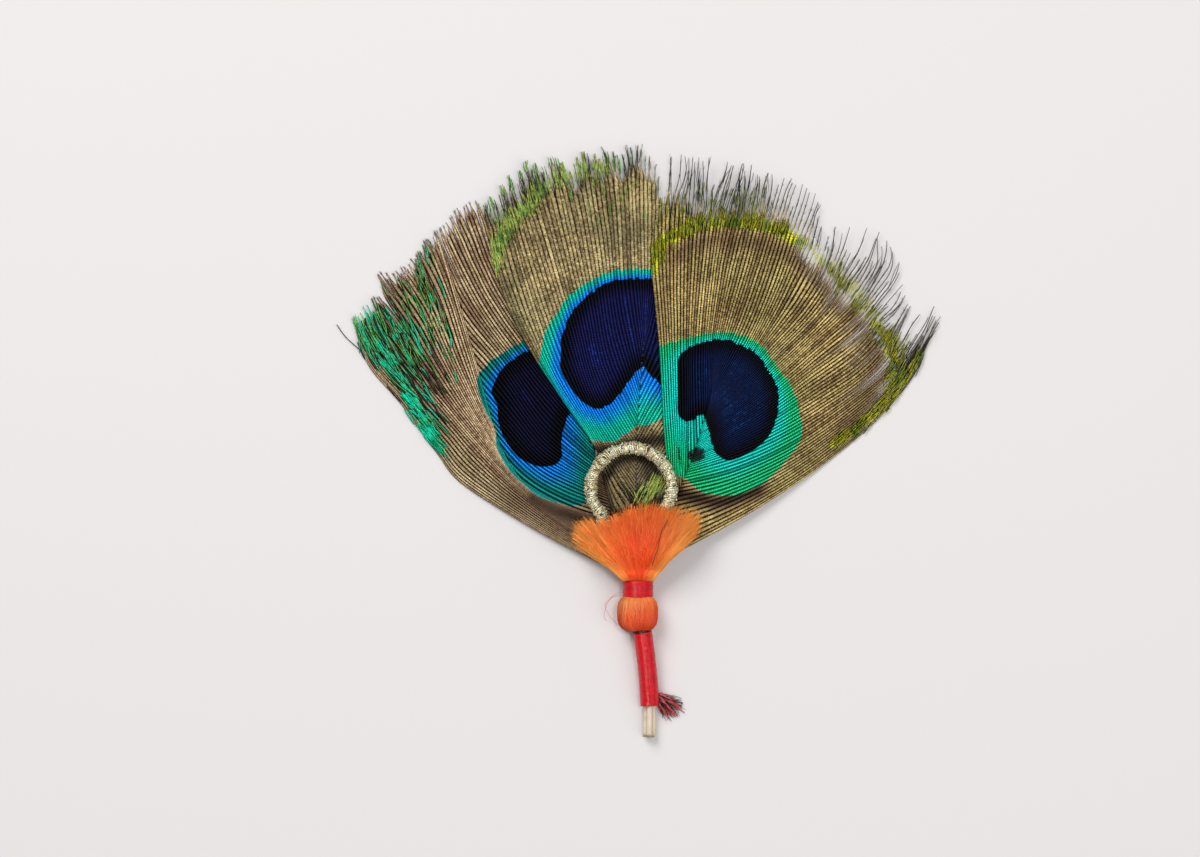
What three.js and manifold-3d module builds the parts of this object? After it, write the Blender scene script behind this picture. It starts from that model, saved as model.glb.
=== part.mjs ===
// Peacock feather fan ornament. Three trimmed peacock eye feathers are stacked like cards, tied with
// red thread, and dressed with a gold cord loop, an orange silk tuft and an orange thread ball.
// It lies flat. Millimetres, +Z up, +Y towards the fan's rim, origin on the ground under the ball.

import * as THREE from 'three';
import { mergeVertices } from 'three/addons/utils/BufferGeometryUtils.js';
import Module from 'manifold-3d';

const wasm = await Module();
wasm.setup();

// ---- driving dimensions ----
const CLEARANCE = 0.22;            // room around each quill inside the wraps
const VANE_RIDGE = 0.25;           // half the thickness of a vane along the middle of a lock
const VANE_VALLEY = 0.1;           // half the thickness between two locks
const LOCK_NOTCH = 0.07;           // share of its length by which the gap between two locks is shorter
const LAYER_STEP = 0.75;           // height from one stacked vane to the next
const NECK_HEIGHT = 2.45;          // height of the middle vane where it leaves the tie
const NECK_RADIUS = 7;             // distance from the origin where the vanes start to slope down
const REST_RADIUS = 46;            // distance from the origin where they lie on the ground
const VANE_ROWS = 5;
const SHAFT_ROWS = 24;

const SHAFT_RADIUS_NECK = 0.45;
const SHAFT_RADIUS_TIP = 0.2;
const QUILL_RADIUS = 0.45;
const QUILL_SPREAD = 0.67;         // distance of each quill from the middle of the bundle
const QUILL_SIDES = 6;

const BALL = { width: 6.7, length: 5.5, height: 5.3, centreY: -0.2, squareness: 2.6 };
const BAND = { width: 5.2, height: 4.5, low: 2.9, high: 5.4 };
const STEM_RADIUS = 1.65;
const STEM_TOP = -3.35;
const STEM_END = -15.5;
const QUILL_END = -20.7;
const BUNDLE_HEIGHT = 2.6;         // height of the bundle's middle inside the ball
const STEM_REST = 1.66;            // and at the stem's lower end

const LOOP_CORD_RADIUS = 1;
const LOOP_END_RADIUS = 0.45;
const LOOP_RADIUS = 6.7;
const LOOP_CENTRE = { x: -1.1, y: 20.7 };
const TUFT_THICKNESS = 0.5;        // half the thickness of the silk tuft

const COLOURS = {
  leftVane: 0x6f6a45,
  middleVane: 0x7d7443,
  rightVane: 0x87703a,
  goldCord: 0xd8c990,
  orangeSilk: 0xe8542a,
  orangeThread: 0xee7130,
  redThread: 0xc21c2c,
  threadEnds: 0x8f2f3a,
};

// ---- small helpers ----
const lerp = THREE.MathUtils.lerp;
const smooth = (value) => THREE.MathUtils.smoothstep(value, 0, 1);
const degrees = THREE.MathUtils.radToDeg;

function curveThrough(points) {
  return new THREE.CatmullRomCurve3(points.map(([x, y, z = 0]) => new THREE.Vector3(x, y, z)));
}

function moveVertices(geometry, place) {
  const position = geometry.attributes.position;
  const vertex = new THREE.Vector3();
  for (let i = 0; i < position.count; i += 1) {
    place(vertex.fromBufferAttribute(position, i));
    position.setXYZ(i, vertex.x, vertex.y, vertex.z);
  }
  geometry.deleteAttribute('normal');
  geometry.deleteAttribute('uv');
  return mergeVertices(geometry, 1e-4);
}

// A rod along a curve that stays near the ground plane, with a radius that changes along it.
function bentRod(curve, radiusAt, rows, sides) {
  const up = new THREE.Vector3(0, 0, 1);
  return moveVertices(new THREE.CylinderGeometry(1, 1, 1, sides, rows), (vertex) => {
    const along = THREE.MathUtils.clamp(vertex.y + 0.5, 0, 1);
    const radius = radiusAt(along);
    const tangent = curve.getTangentAt(along);
    const side = tangent.clone().cross(up).normalize();
    const rise = side.clone().cross(tangent);
    const { x, z } = vertex;
    vertex.copy(curve.getPointAt(along)).addScaledVector(side, x * radius).addScaledVector(rise, z * radius);
  });
}

// A plate of locks: guides are curves from root to tip, in clockwise order seen from above.
function lockPlate(guides, locks, rows, notch, heightAt, halfThickness) {
  const columns = 2 * locks;
  const curves = guides.map(curveThrough);
  return moveVertices(new THREE.BoxGeometry(1, 1, 1, columns, rows, 1), (vertex) => {
    const column = Math.round((vertex.x + 0.5) * columns);
    const ridge = column % 2 === 1;
    const reach = ridge ? 1 : 1 - notch;
    const along = (vertex.y + 0.5) * reach;
    const place = (column / columns) * (curves.length - 1);
    const first = Math.min(Math.floor(place), curves.length - 2);
    const side = Math.sign(vertex.z);
    vertex.lerpVectors(curves[first].getPointAt(along), curves[first + 1].getPointAt(along), place - first);
    vertex.z = heightAt(vertex.x, vertex.y) + side * halfThickness(ridge, along);
  });
}

function toSolid(geometry) {
  const vertProperties = new Float32Array(geometry.attributes.position.array);
  const triVerts = new Uint32Array(geometry.index.array);
  return new wasm.Manifold(new wasm.Mesh({ numProp: 3, vertProperties, triVerts }));
}

function toGeometry(solid) {
  const mesh = solid.getMesh();
  const geometry = new THREE.BufferGeometry();
  geometry.setAttribute('position', new THREE.BufferAttribute(mesh.vertProperties, 3));
  geometry.setIndex(new THREE.BufferAttribute(mesh.triVerts, 1));
  return geometry;
}

function join(geometries) {
  const solids = geometries.map(toSolid);
  return toGeometry(solids.reduce((whole, piece) => whole.add(piece)));
}

function cut(geometry, cutters) {
  const whole = cutters.map(toSolid).reduce((left, cutter) => left.subtract(cutter), toSolid(geometry));
  return toGeometry(whole);
}

// ---- how the stacked vanes lie ----
const bearing = (x, y) => degrees(Math.atan2(x, y));          // 0 straight up the fan, right positive
const liftMiddle = (turn) => LAYER_STEP * (1 - smooth((turn + 6) / 36));
const liftRight = (turn) => LAYER_STEP * (1 - smooth((turn - 14) / 36)) + liftMiddle(turn);

const LAYERS = {
  left: { neck: NECK_HEIGHT - LAYER_STEP, lift: () => 0 },
  middle: { neck: NECK_HEIGHT, lift: liftMiddle },
  right: { neck: NECK_HEIGHT + LAYER_STEP, lift: liftRight },
};

function layerHeight(layer, x, y) {
  const fall = smooth((Math.hypot(x, y) - NECK_RADIUS) / (REST_RADIUS - NECK_RADIUS));
  return lerp(layer.neck, VANE_RIDGE + layer.lift(bearing(x, y)), fall);
}

// ---- the bundle of quills ----
function bundleMiddle(y) {
  const path = curveThrough([[0, 6], [0.1, 2], [0.2, 0], [0.8, -3.2], [1.6, -9.3], [2, -15], [1.9, QUILL_END]]);
  const ends = [path.points[0].y, QUILL_END];
  let low = 0;
  let high = 1;
  for (let step = 0; step < 24; step += 1) {
    const half = (low + high) / 2;
    if (path.getPoint(half).y > THREE.MathUtils.clamp(y, ends[1], ends[0])) low = half;
    else high = half;
  }
  const droop = smooth((STEM_TOP - y) / (STEM_TOP - STEM_END));
  return new THREE.Vector3(path.getPoint(low).x, y, lerp(BUNDLE_HEIGHT, STEM_REST, droop));
}

// One shaft: bare quill end, through the wraps, out at the neck and up the vane as its rachis.
function shaftCurve(layer, corner, rachis) {
  const turn = THREE.MathUtils.degToRad(corner);
  const stations = [QUILL_END, -18, STEM_END, -12, -9, -6, -3, 0, 2.5];
  const bundle = stations.map((y) => {
    const middle = bundleMiddle(y);
    return [middle.x + QUILL_SPREAD * Math.cos(turn), y, middle.z + QUILL_SPREAD * Math.sin(turn)];
  });
  return curveThrough([...bundle, ...rachis.map(([x, y]) => [x, y, layerHeight(layer, x, y)])]);
}

function shaftRadius(along) {
  return lerp(SHAFT_RADIUS_NECK, SHAFT_RADIUS_TIP, smooth((along - 0.35) / 0.65));
}

// ---- the three feathers: rachis, and guide barbs in clockwise order, each from root to tip ----
const FEATHERS = {
  left: {
    corner: 210,
    rachis: [[-1.6, 8.7], [-4, 17.2], [-6.7, 25.7], [-10.3, 33.8], [-14.6, 41.7]],
    leftLocks: 15,
    leftGuides: [
      [[-1.2, 6.6], [-16, 13.3], [-29.7, 22.3], [-39.6, 35.2], [-47.9, 49]],
      [[-1.9, 9], [-18, 18], [-32, 32], [-44, 51.8]],
      [[-2.8, 12.5], [-17.5, 22], [-28.5, 36.5], [-39.2, 58.3]],
      [[-5.6, 22.7], [-15.4, 30.6], [-25, 44.5], [-35.6, 62.3]],
      [[-7.6, 27.8], [-17.3, 39.1], [-26.2, 51.1], [-32.6, 64.5]],
      [[-10.1, 33.3], [-18.1, 43.9], [-25.2, 55], [-30.4, 67.2]],
      [[-14.6, 41.7], [-18.4, 50.1], [-21.9, 58.6], [-25.1, 67.3]],
    ],
    rightLocks: 5,
    rightGuides: [
      [[-14.4, 41.7], [-17.4, 50], [-20.5, 58], [-23.6, 65.5]],
      [[-12.4, 38], [-13.6, 44.5], [-15.4, 50.5], [-17.4, 56.5]],
      [[-9.9, 33.3], [-9.8, 38.8], [-10.8, 44.2], [-11.9, 49.5]],
      [[-5.2, 22.3], [-5.2, 27], [-5.8, 31.6], [-6.6, 36.2]],
      [[-2.4, 12], [-2.2, 15.5], [-2.5, 18.9], [-3.2, 22.3]],
    ],
  },
  middle: {
    corner: 90,
    rachis: [[-0.2, 8.7], [-0.2, 18.1], [-0.2, 27.6], [0.3, 37.1], [1.2, 46.5]],
    leftLocks: 13,
    leftGuides: [
      [[-0.4, 9.3], [-5.9, 24.4], [-14.4, 38.1], [-21.8, 52.4], [-25.6, 68.2]],
      [[-0.3, 17.8], [-10.4, 34.2], [-18.1, 51.8], [-23.2, 70.3]],
      [[-0.3, 23.7], [-7.6, 35.3], [-11.9, 48.4], [-15.9, 61.5], [-19.9, 74.7]],
      [[-0.2, 30.3], [-5.5, 41], [-7.8, 52.7], [-10.1, 64.4], [-12.8, 76]],
      [[0.3, 37.8], [-2.6, 50.9], [-3.8, 64.3], [-5.2, 77.7]],
      [[1.1, 46.2], [0.7, 56.7], [0.6, 67.4], [0.5, 78]],
    ],
    rightLocks: 6,
    rightGuides: [
      [[1.3, 46.2], [1.6, 56.5], [1.6, 66.9], [1.3, 77.8]],
      [[1.3, 45.4], [2.3, 54], [2.8, 63], [3, 74.5]],
      [[1.2, 43.7], [2.8, 48], [3.9, 52.6], [4.4, 57.3]],
      [[0, 30.3], [2.2, 34.7], [4.6, 39.1], [6.6, 43.7]],
      [[-0.1, 17.8], [1.7, 20.9], [3.8, 23.9], [5.8, 27]],
      [[-0.1, 11.2], [0.9, 14.3], [2.1, 17.5], [3.3, 20.7]],
    ],
  },
  right: {
    corner: 330,
    rachis: [[1.9, 8.7], [4.6, 15.9], [8, 23], [10.5, 30.3], [12.4, 37.8]],
    leftLocks: 9,
    leftGuides: [
      [[3.7, 14], [4.4, 27.9], [3.6, 41.9], [2.6, 55.9], [3.1, 75]],
      [[5.1, 17], [5.8, 31.9], [5.1, 47], [4.4, 62], [4.9, 77]],
      [[6.6, 20.3], [7.2, 34.1], [7, 48], [7.4, 61.8], [8, 75.7]],
      [[9, 25.7], [8.8, 42.4], [9.7, 59.2], [11.8, 75.8]],
      [[10.8, 31.7], [10.8, 46.4], [12.3, 61], [15.4, 75.3]],
      [[12.3, 37.8], [15.6, 50], [19.4, 62], [22.6, 73.6]],
    ],
    rightLocks: 17,
    rightGuides: [
      [[12.5, 37.8], [16.2, 49.8], [20.2, 61.7], [23.4, 73.4]],
      [[11.9, 35], [19, 46.1], [24, 58.4], [27.6, 71.2]],
      [[11.3, 32.8], [21, 42.3], [30, 52.5], [35.4, 65]],
      [[10.5, 29.8], [19.9, 36.4], [28.7, 44], [37.1, 51.9], [41.4, 62.3]],
      [[9.7, 27], [19.5, 32], [28.7, 38.4], [37.6, 45.1], [44.1, 54]],
      [[7, 20.3], [24.2, 26], [39.2, 36.6], [49.8, 51.3]],
      [[4.6, 15.3], [22.9, 22.4], [39.1, 33.9], [50.4, 50]],
      [[2.2, 8.3], [16.7, 15.7], [30.5, 24.4], [42.8, 35.2], [51.4, 49]],
    ],
  },
};

const SHAFTS = Object.fromEntries(Object.entries(FEATHERS).map(([side, feather]) => (
  [side, shaftCurve(LAYERS[side], feather.corner, feather.rachis)]
)));

function featherGeometry(side) {
  const feather = FEATHERS[side];
  const heightAt = (x, y) => layerHeight(LAYERS[side], x, y);
  const thickness = (ridge) => (ridge ? VANE_RIDGE : VANE_VALLEY);
  return join([
    bentRod(SHAFTS[side], shaftRadius, SHAFT_ROWS, QUILL_SIDES),
    lockPlate(feather.leftGuides, feather.leftLocks, VANE_ROWS, LOCK_NOTCH, heightAt, thickness),
    lockPlate(feather.rightGuides, feather.rightLocks, VANE_ROWS, LOCK_NOTCH, heightAt, thickness),
  ]);
}

// Each wrap has a passage for the three quills and the space between them.
function quillCutters() {
  const passage = QUILL_RADIUS + CLEARANCE;
  const between = curveThrough([5.6, 3, 0, -3, -6, -9, -12, STEM_END - 1].map((y) => bundleMiddle(y).toArray()));
  const quills = Object.values(SHAFTS).map((curve) => bentRod(curve, () => passage, SHAFT_ROWS, QUILL_SIDES));
  return [...quills, bentRod(between, () => QUILL_RADIUS, 12, QUILL_SIDES)];
}

// ---- the tie ----
function bandGeometry() {
  const length = BAND.high - BAND.low;
  const geometry = moveVertices(new THREE.CylinderGeometry(0.5, 0.5, length, 24, 1), (vertex) => {
    vertex.x = vertex.x * BAND.width + 0.05;
    vertex.y += (BAND.low + BAND.high) / 2;
    vertex.z = vertex.z * BAND.height + BUNDLE_HEIGHT;
  });
  return cut(geometry, quillCutters());
}

// A cushion-square ball, flat where it rests.
function ballGeometry() {
  const geometry = moveVertices(new THREE.SphereGeometry(0.5, 24, 12), (vertex) => {
    const p = BALL.squareness;
    const sum = Math.abs(vertex.x) ** p + Math.abs(vertex.y) ** p + Math.abs(vertex.z) ** p;
    vertex.multiplyScalar(0.5 / sum ** (1 / p));
    vertex.x *= BALL.width;
    vertex.y = vertex.y * BALL.length + BALL.centreY;
    vertex.z = Math.max(vertex.z * (BALL.height + 0.5) + BUNDLE_HEIGHT, 0);
  });
  return cut(geometry, quillCutters());
}

function stemGeometry() {
  const middle = curveThrough([STEM_TOP, -6, -9, -12, STEM_END].map((y) => bundleMiddle(y).toArray()));
  return cut(bentRod(middle, () => STEM_RADIUS, 6, 16), quillCutters());
}

// ---- what dresses the fan ----
// The cord leaves the tie, runs once round a ring that lies on the vanes, and goes back to the tie.
function loopGeometry() {
  const points = [[-0.9, 6.1], [-2.4, 8.6], [-5.4, 12.4]];
  for (let turn = 225; turn >= -45; turn -= 30) {
    const angle = THREE.MathUtils.degToRad(turn);
    points.push([
      LOOP_CENTRE.x + LOOP_RADIUS * Math.cos(angle),
      LOOP_CENTRE.y + LOOP_RADIUS * Math.sin(angle),
    ]);
  }
  points.push([3.4, 12.2], [2, 8.6], [0.9, 6.1]);
  const cordRadius = (x, y) => lerp(LOOP_END_RADIUS, LOOP_CORD_RADIUS, smooth((y - 7) / 7));
  const onVanes = points.map(([x, y]) => (
    [x, y, layerHeight(LAYERS.right, x, y) + SHAFT_RADIUS_NECK + CLEARANCE + cordRadius(x, y)]
  ));
  const curve = curveThrough(onVanes);
  return bentRod(curve, (along) => cordRadius(0, curve.getPointAt(along).y), 36, 8);
}

// A fan of combed silk over the foot of the loop.
function tuftGeometry() {
  const tips = [
    [-11.1, 12.5], [-9.4, 16], [-6.3, 15.5], [-3.8, 16.8], [0.1, 18.2],
    [3.4, 18.2], [6.3, 17.7], [10.3, 16.5], [9.6, 13],
  ];
  const guides = tips.map(([x, y], index) => {
    const root = lerp(-2.2, 2.4, index / (tips.length - 1));
    return [[root, 5.9], [lerp(root, x, 0.3), lerp(5.9, y, 0.42)], [lerp(root, x, 0.68), lerp(5.9, y, 0.74)], [x, y]];
  });
  const crest = (x, y) => 5.4 + 1.05 * smooth((y - 5.9) / 6) - 0.2 * smooth((y - 13) / 5);
  const thickness = (ridge, along) => TUFT_THICKNESS * (ridge ? 1 : 0.6) * (1 - 0.4 * along);
  return lockPlate(guides, 15, 5, 0.09, crest, thickness);
}

// Frayed thread ends beside the foot of the stem.
function threadEndsGeometry() {
  const guides = [
    [[4.1, -13.7], [5.2, -14.2], [6.3, -14.6], [7.7, -15.4]],
    [[4.05, -14.2], [5, -15.2], [6, -16.4], [6.9, -17.8]],
    [[4, -14.8], [4.4, -16.2], [4.7, -17.6], [4.9, -19.3]],
  ];
  return lockPlate(guides, 5, 3, 0.16, (x) => 0.95 - 0.16 * (x - 4), (ridge) => (ridge ? 0.3 : 0.16));
}

// ---- assembly ----
const group = new THREE.Group();

function addPiece(name, geometry, color, roughness, metalness = 0) {
  const mesh = new THREE.Mesh(geometry, new THREE.MeshStandardMaterial({ color, roughness, metalness }));
  mesh.name = name;
  group.add(mesh);
}

addPiece('feather_left', featherGeometry('left'), COLOURS.leftVane, 0.5);
addPiece('feather_middle', featherGeometry('middle'), COLOURS.middleVane, 0.5);
addPiece('feather_right', featherGeometry('right'), COLOURS.rightVane, 0.5);
addPiece('gold_cord_loop', loopGeometry(), COLOURS.goldCord, 0.35, 0.8);
addPiece('silk_tuft', tuftGeometry(), COLOURS.orangeSilk, 0.6);
addPiece('neck_band', bandGeometry(), COLOURS.redThread, 0.4);
addPiece('thread_ball', ballGeometry(), COLOURS.orangeThread, 0.7);
addPiece('stem_wrap', stemGeometry(), COLOURS.redThread, 0.4);
addPiece('thread_ends', threadEndsGeometry(), COLOURS.threadEnds, 0.7);

export default group;
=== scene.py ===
"""Peacock feather fan ornament: three trimmed eye feathers, a gold cord loop, silk and thread.

Sizes are in millimetres until a mesh is made, which is in metres. +Y points up the fan, +Z out of its face.
"""
from functools import partial
from math import cos, pi, radians, sin

import bmesh
import bpy
import numpy as np
from mathutils import Matrix, Vector


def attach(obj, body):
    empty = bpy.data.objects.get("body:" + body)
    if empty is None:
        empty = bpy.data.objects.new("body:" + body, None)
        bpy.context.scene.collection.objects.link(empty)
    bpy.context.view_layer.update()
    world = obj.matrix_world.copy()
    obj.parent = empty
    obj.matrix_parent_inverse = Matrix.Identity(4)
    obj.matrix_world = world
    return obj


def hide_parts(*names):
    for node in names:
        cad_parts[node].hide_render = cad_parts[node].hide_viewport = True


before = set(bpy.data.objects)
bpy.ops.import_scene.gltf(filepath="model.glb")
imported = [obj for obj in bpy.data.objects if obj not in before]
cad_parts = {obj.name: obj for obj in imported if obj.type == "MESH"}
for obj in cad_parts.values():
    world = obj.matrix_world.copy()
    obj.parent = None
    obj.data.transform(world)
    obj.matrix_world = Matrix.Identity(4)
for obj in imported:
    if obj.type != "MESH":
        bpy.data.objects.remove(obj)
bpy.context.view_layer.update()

MM = 0.001
UP = np.array([0.0, 0.0, 1.0])

# ---- sizes shared with the solids ----
LAYER_STEP = 0.75            # height from one stacked vane to the next
NECK_HEIGHT = 2.45           # height of the middle vane where it leaves the tie
NECK_RADIUS = 7.0            # where the vanes start to slope down
REST_RADIUS = 46.0           # where they lie on the ground
REST_HEIGHT = 0.25
MIDDLE_EDGE = -6.0           # degrees round the tie, where a vane starts to slide off the one under it
RIGHT_EDGE = 14.0
EDGE_SLOPE = 36.0            # and the degrees that it takes
BUNDLE_HEIGHT = 2.6          # height of the quills inside the ball
STEM_REST = 1.66             # and at the foot of the stem
STEM_TOP = -3.0
STEM_END = -15.5
STEM_RADIUS = 1.6
QUILL_END = -20.7
QUILL_RADIUS = 0.46
QUILL_SPREAD = 0.67
BUNDLE = [(0, 6), (0.1, 2), (0.2, 0), (0.8, -3.2), (1.6, -9.3), (2, -15), (1.9, QUILL_END)]
BAND = {"width": 5.2, "height": 4.5, "low": 2.75, "high": 5.4, "middle": 0.05}
BALL = {"width": 6.7, "length": 6.1, "height": 5.4, "centre": -0.05, "squareness": 3.2}
BALL_LOWEST = 0.02
LOOP_CENTRE = (-1.1, 20.7)
LOOP_RADIUS = 6.7
LOOP_FEET = ([(-0.9, 6.1), (-2.4, 8.6), (-5.4, 12.4)], [(3.4, 12.2), (2, 8.6), (0.9, 6.1)])
CORD_RADIUS = 1.0
CORD_FOOT_RADIUS = 0.45      # in the tie
CORD_ABOVE_VANES = 0.5

# ---- sizes of the fine work ----
BARB_PITCH = 0.58            # from one barb to the next where they are widest apart
BARB_COVER = 1.04            # barb width to pitch
BARB_NARROWEST = 0.22
BARB_WIDEST = 1.4
BARB_HALF_HEIGHT = 0.08
BARB_STEPS = 58
EVENING_ROUNDS = 3
BARB_WAVES = ((0.14, 2.3, 7), (0.06, 5, 3), (0.02, 13, 1))   # (size, rate, neighbours that share it)
WEB_FADE = 1.6               # the length over which the closed web ends
BARE_LEAST = 0.4             # the shortest bare tip
TIP_LENGTH = 5.0             # the length over which a frayed barb gets thinner
TIP_LIFT = 0.3
HAIR_WIDTH = 0.16            # a bare barb tip
HAIR_THINNEST = 0.1
STRAY_HALF_WIDTH = 0.09
BARBULE_STEP = 0.4
BARBULE_ANGLE = 36.0
BARBULE_HALF_WIDTH = 0.12    # at its root, inside the web
LOOSE_HALF_WIDTH = 0.06      # and past it
LOOSE_LENGTH = 0.75
LOOSE_SHARE = 0.85           # how many of the barbules are still there just past the web
BARBULE_SEAT = 0.085         # how far above its barb's middle line a barbule starts
TIP_CLEAR = 0.5              # no barbules nearer to the tip of a barb
EYE_ROUGHNESS = 0.1          # disorder of the barbules in the eye, 0 to 1
FEATHERY = 2.0               # how far loose barbules carry on past the web
OUTLINE_STEPS = 140          # points round the eye's heart, and round its ring
STRAND_STEPS = 7
STRAND_LIFT = 0.2            # from a barb's middle line to the lowest strands over it
SLIP = 0.09                  # how unevenly the markings run from barb to barb
SHAFT_STEPS = 90
SHAFT_LOWEST = 0.12          # the lowest middle line of a rachis
RACHIS_TIP_RADIUS = 0.1
QUILL_WALL = 0.16
QUILL_HOLLOW = 1.2           # how deep the cut end is open
CORD_STEPS = 160
CORD_TURNS = 82
WIRE_STEPS = 2400
WIRE_HALF_WIDTH = 0.17
CORD_FLAKES = 3000
BALL_FLOSS = (1500, 14)      # fibres, and points along each
FLOSS_HALF_WIDTH = 0.085
THREAD_ENDS = (130, 12)
END_HALF_WIDTH = 0.09
ENDS_START = (3.3, -13.9)    # where the frayed thread ends leave the stem
BINDING_PITCH = 0.2          # from one turn of the red thread to the next


# ---- curves ----
def smooth(value):
    """An eased step from 0 to 1."""
    value = np.clip(value, 0.0, 1.0)
    return value * value * (3 - 2 * value)


def spline(points, at):
    """A smooth curve through the rows of points, read at these row numbers."""
    points = np.asarray(points, float)
    last = len(points) - 1
    at = np.clip(np.asarray(at, float), 0, last)
    first = np.minimum(at.astype(int), last - 1)
    part = (at - first).reshape((-1,) + (1,) * (points.ndim - 1))
    before, after = np.maximum(first - 1, 0), np.minimum(first + 2, last)
    a, b, c, d = points[before], points[first], points[first + 1], points[after]
    bend = (2 * a - 5 * b + 4 * c - d) + (3 * b - a - 3 * c + d) * part
    return b + 0.5 * part * ((c - a) + part * bend)


def read_along(values, share, at):
    """Rows of values that lie at these shares of the way, read at other shares."""
    return np.stack([np.interp(at, share, axis) for axis in values.T], axis=1)


def even(points, count):
    """Points evenly spaced along the smooth curve through these."""
    fine = spline(points, np.linspace(0, len(points) - 1, 12 * len(points)))
    length = np.r_[0, np.cumsum(np.linalg.norm(np.diff(fine, axis=0), axis=1))]
    return read_along(fine, length, np.linspace(0, 1, count) * length[-1])


def directions(path):
    """Unit tangents along a path, or along each of many paths."""
    tangent = np.gradient(path, axis=-2)
    return tangent / np.maximum(np.linalg.norm(tangent, axis=-1, keepdims=True), 1e-9)


def distance_to(points, line):
    """The distance of each point from a line of straight pieces."""
    start, step = line[:-1], np.diff(line, axis=0)
    length = (step * step).sum(-1)
    away = []
    for some in np.array_split(points, len(points) // 8000 + 1):
        x, y = some[:, 0, None] - start[:, 0], some[:, 1, None] - start[:, 1]
        share = np.clip((x * step[:, 0] + y * step[:, 1]) / length, 0, 1)
        away.append(np.hypot(x - share * step[:, 0], y - share * step[:, 1]).min(1))
    return np.concatenate(away)


def inside(points, outline):
    """Which points lie inside a closed outline."""
    x1, y1 = outline[:-1].T
    x2, y2 = outline[1:].T
    slope = (x2 - x1) / np.where(y2 == y1, 1e-9, y2 - y1)
    held = []
    for some in np.array_split(points, len(points) // 8000 + 1):
        x, y = some[:, 0, None], some[:, 1, None]
        crosses = ((y1 > y) != (y2 > y)) & (x < x1 + (y - y1) * slope)
        held.append(crosses.sum(1) % 2 == 1)
    return np.concatenate(held)


def closed_outline(points):
    """A smooth closed outline through a few points."""
    ring = np.array(points[-2:] + points + points[:2], float)
    outline = spline(ring, np.linspace(2, len(points) + 2, OUTLINE_STEPS))
    outline[-1] = outline[0]
    return outline


# ---- meshes ----
def mesh_piece(name, points, faces, corners):
    """A mesh object of many faces with the same number of corners, from arrays in millimetres."""
    mesh = bpy.data.meshes.new(name)
    mesh.vertices.add(len(points))
    mesh.vertices.foreach_set("co", (points * MM).ravel())
    mesh.loops.add(faces.size)
    mesh.loops.foreach_set("vertex_index", faces.ravel())
    mesh.polygons.add(len(faces))
    mesh.polygons.foreach_set("loop_start", np.arange(len(faces)) * corners)
    mesh.update(calc_edges=True)
    piece = bpy.data.objects.new(name, mesh)
    bpy.context.scene.collection.objects.link(piece)
    return piece


def object_from(name, bm):
    """A mesh object of what was built in bm."""
    mesh = bpy.data.meshes.new(name)
    bm.to_mesh(mesh)
    bm.free()
    piece = bpy.data.objects.new(name, mesh)
    bpy.context.scene.collection.objects.link(piece)
    return piece


def rod_shape(sides, rows, turn=0.0, tip=1.0):
    """A closed rod of unit radius as vertices (across, up, row) and triangles. Its far end has radius tip."""
    bm = bmesh.new()
    bmesh.ops.create_cone(bm, cap_ends=True, segments=sides, radius1=1, radius2=tip, depth=1)
    bmesh.ops.remove_doubles(bm, verts=bm.verts, dist=0.001)
    upright = [edge for edge in bm.edges if abs(edge.verts[0].co.z - edge.verts[1].co.z) > 0.5]
    if rows > 2:
        bmesh.ops.subdivide_edges(bm, edges=upright, cuts=rows - 2)
    first = max(bm.verts, key=lambda vert: vert.co.x)
    angle = turn - np.arctan2(first.co.y, first.co.x)
    bmesh.ops.rotate(bm, verts=bm.verts, cent=(0, 0, 0), matrix=Matrix.Rotation(angle, 3, "Z"))
    bmesh.ops.triangulate(bm, faces=bm.faces)
    shape = np.array([tuple(vert.co) for vert in bm.verts])
    shape[:, 2] = np.round((shape[:, 2] + 0.5) * (rows - 1))
    faces = np.array([[vert.index for vert in face.verts] for face in bm.faces])
    bm.free()
    return shape, faces


def lay_rods(name, shape, paths, widths, heights, markings=None, slip=0.0, **facts):
    """One mesh of a rod bent along each path. A fact is a number for each point of each path.

    markings gives facts for places on the vane, read at every vertex, moved along its path by slip.
    """
    points, faces = shape
    row = points[:, 2].astype(int)
    tangent = directions(paths)
    left = np.cross(UP, tangent)
    left /= np.maximum(np.linalg.norm(left, axis=-1, keepdims=True), 1e-9)
    rise = np.cross(tangent, left)
    across = left[:, row] * (points[:, 0] * widths[:, row])[..., None]
    lift = rise[:, row] * (points[:, 1] * heights[:, row])[..., None]
    place = (paths[:, row] + across + lift).reshape(-1, 3)
    first = np.arange(len(paths)) * len(points)
    piece = mesh_piece(name, place, (faces[None] + first[:, None, None]).reshape(-1, 3), 3)
    for fact, values in facts.items():
        store(piece, fact, values[:, row].ravel())
    if "edge" not in facts:
        store(piece, "edge", np.tile(np.abs(points[:, 0]), len(paths)))
    if markings:
        spots = place[:, :2] + (tangent[:, row] * slip).reshape(-1, 3)[:, :2]
        for fact, values in markings(spots).items():
            store(piece, fact, values)
    return piece


def store(piece, name, values):
    """Keeps one number for each vertex, which the materials read by this name."""
    layer = piece.data.attributes.new(name, "FLOAT", "POINT")
    layer.data.foreach_set("value", np.ascontiguousarray(values, np.float32))


def joined(name, parts, materials):
    """Joins parts into one piece with these materials. Each part is (mesh object, place in materials)."""
    for part, place in parts:
        part.data.materials.clear()
        for material in materials:
            part.data.materials.append(material)
        part.data.polygons.foreach_set("material_index", np.full(len(part.data.polygons), place))
    pieces = [part for part, _ in parts]
    first = pieces[0]
    with bpy.context.temp_override(active_object=first, selected_editable_objects=pieces):
        bpy.ops.object.join()
    first.name = first.data.name = name
    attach(first, "root")
    return first


# ---- how the stacked vanes lie ----
def lift_middle(turn):
    return LAYER_STEP * (1 - smooth((turn - MIDDLE_EDGE) / EDGE_SLOPE))


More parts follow.
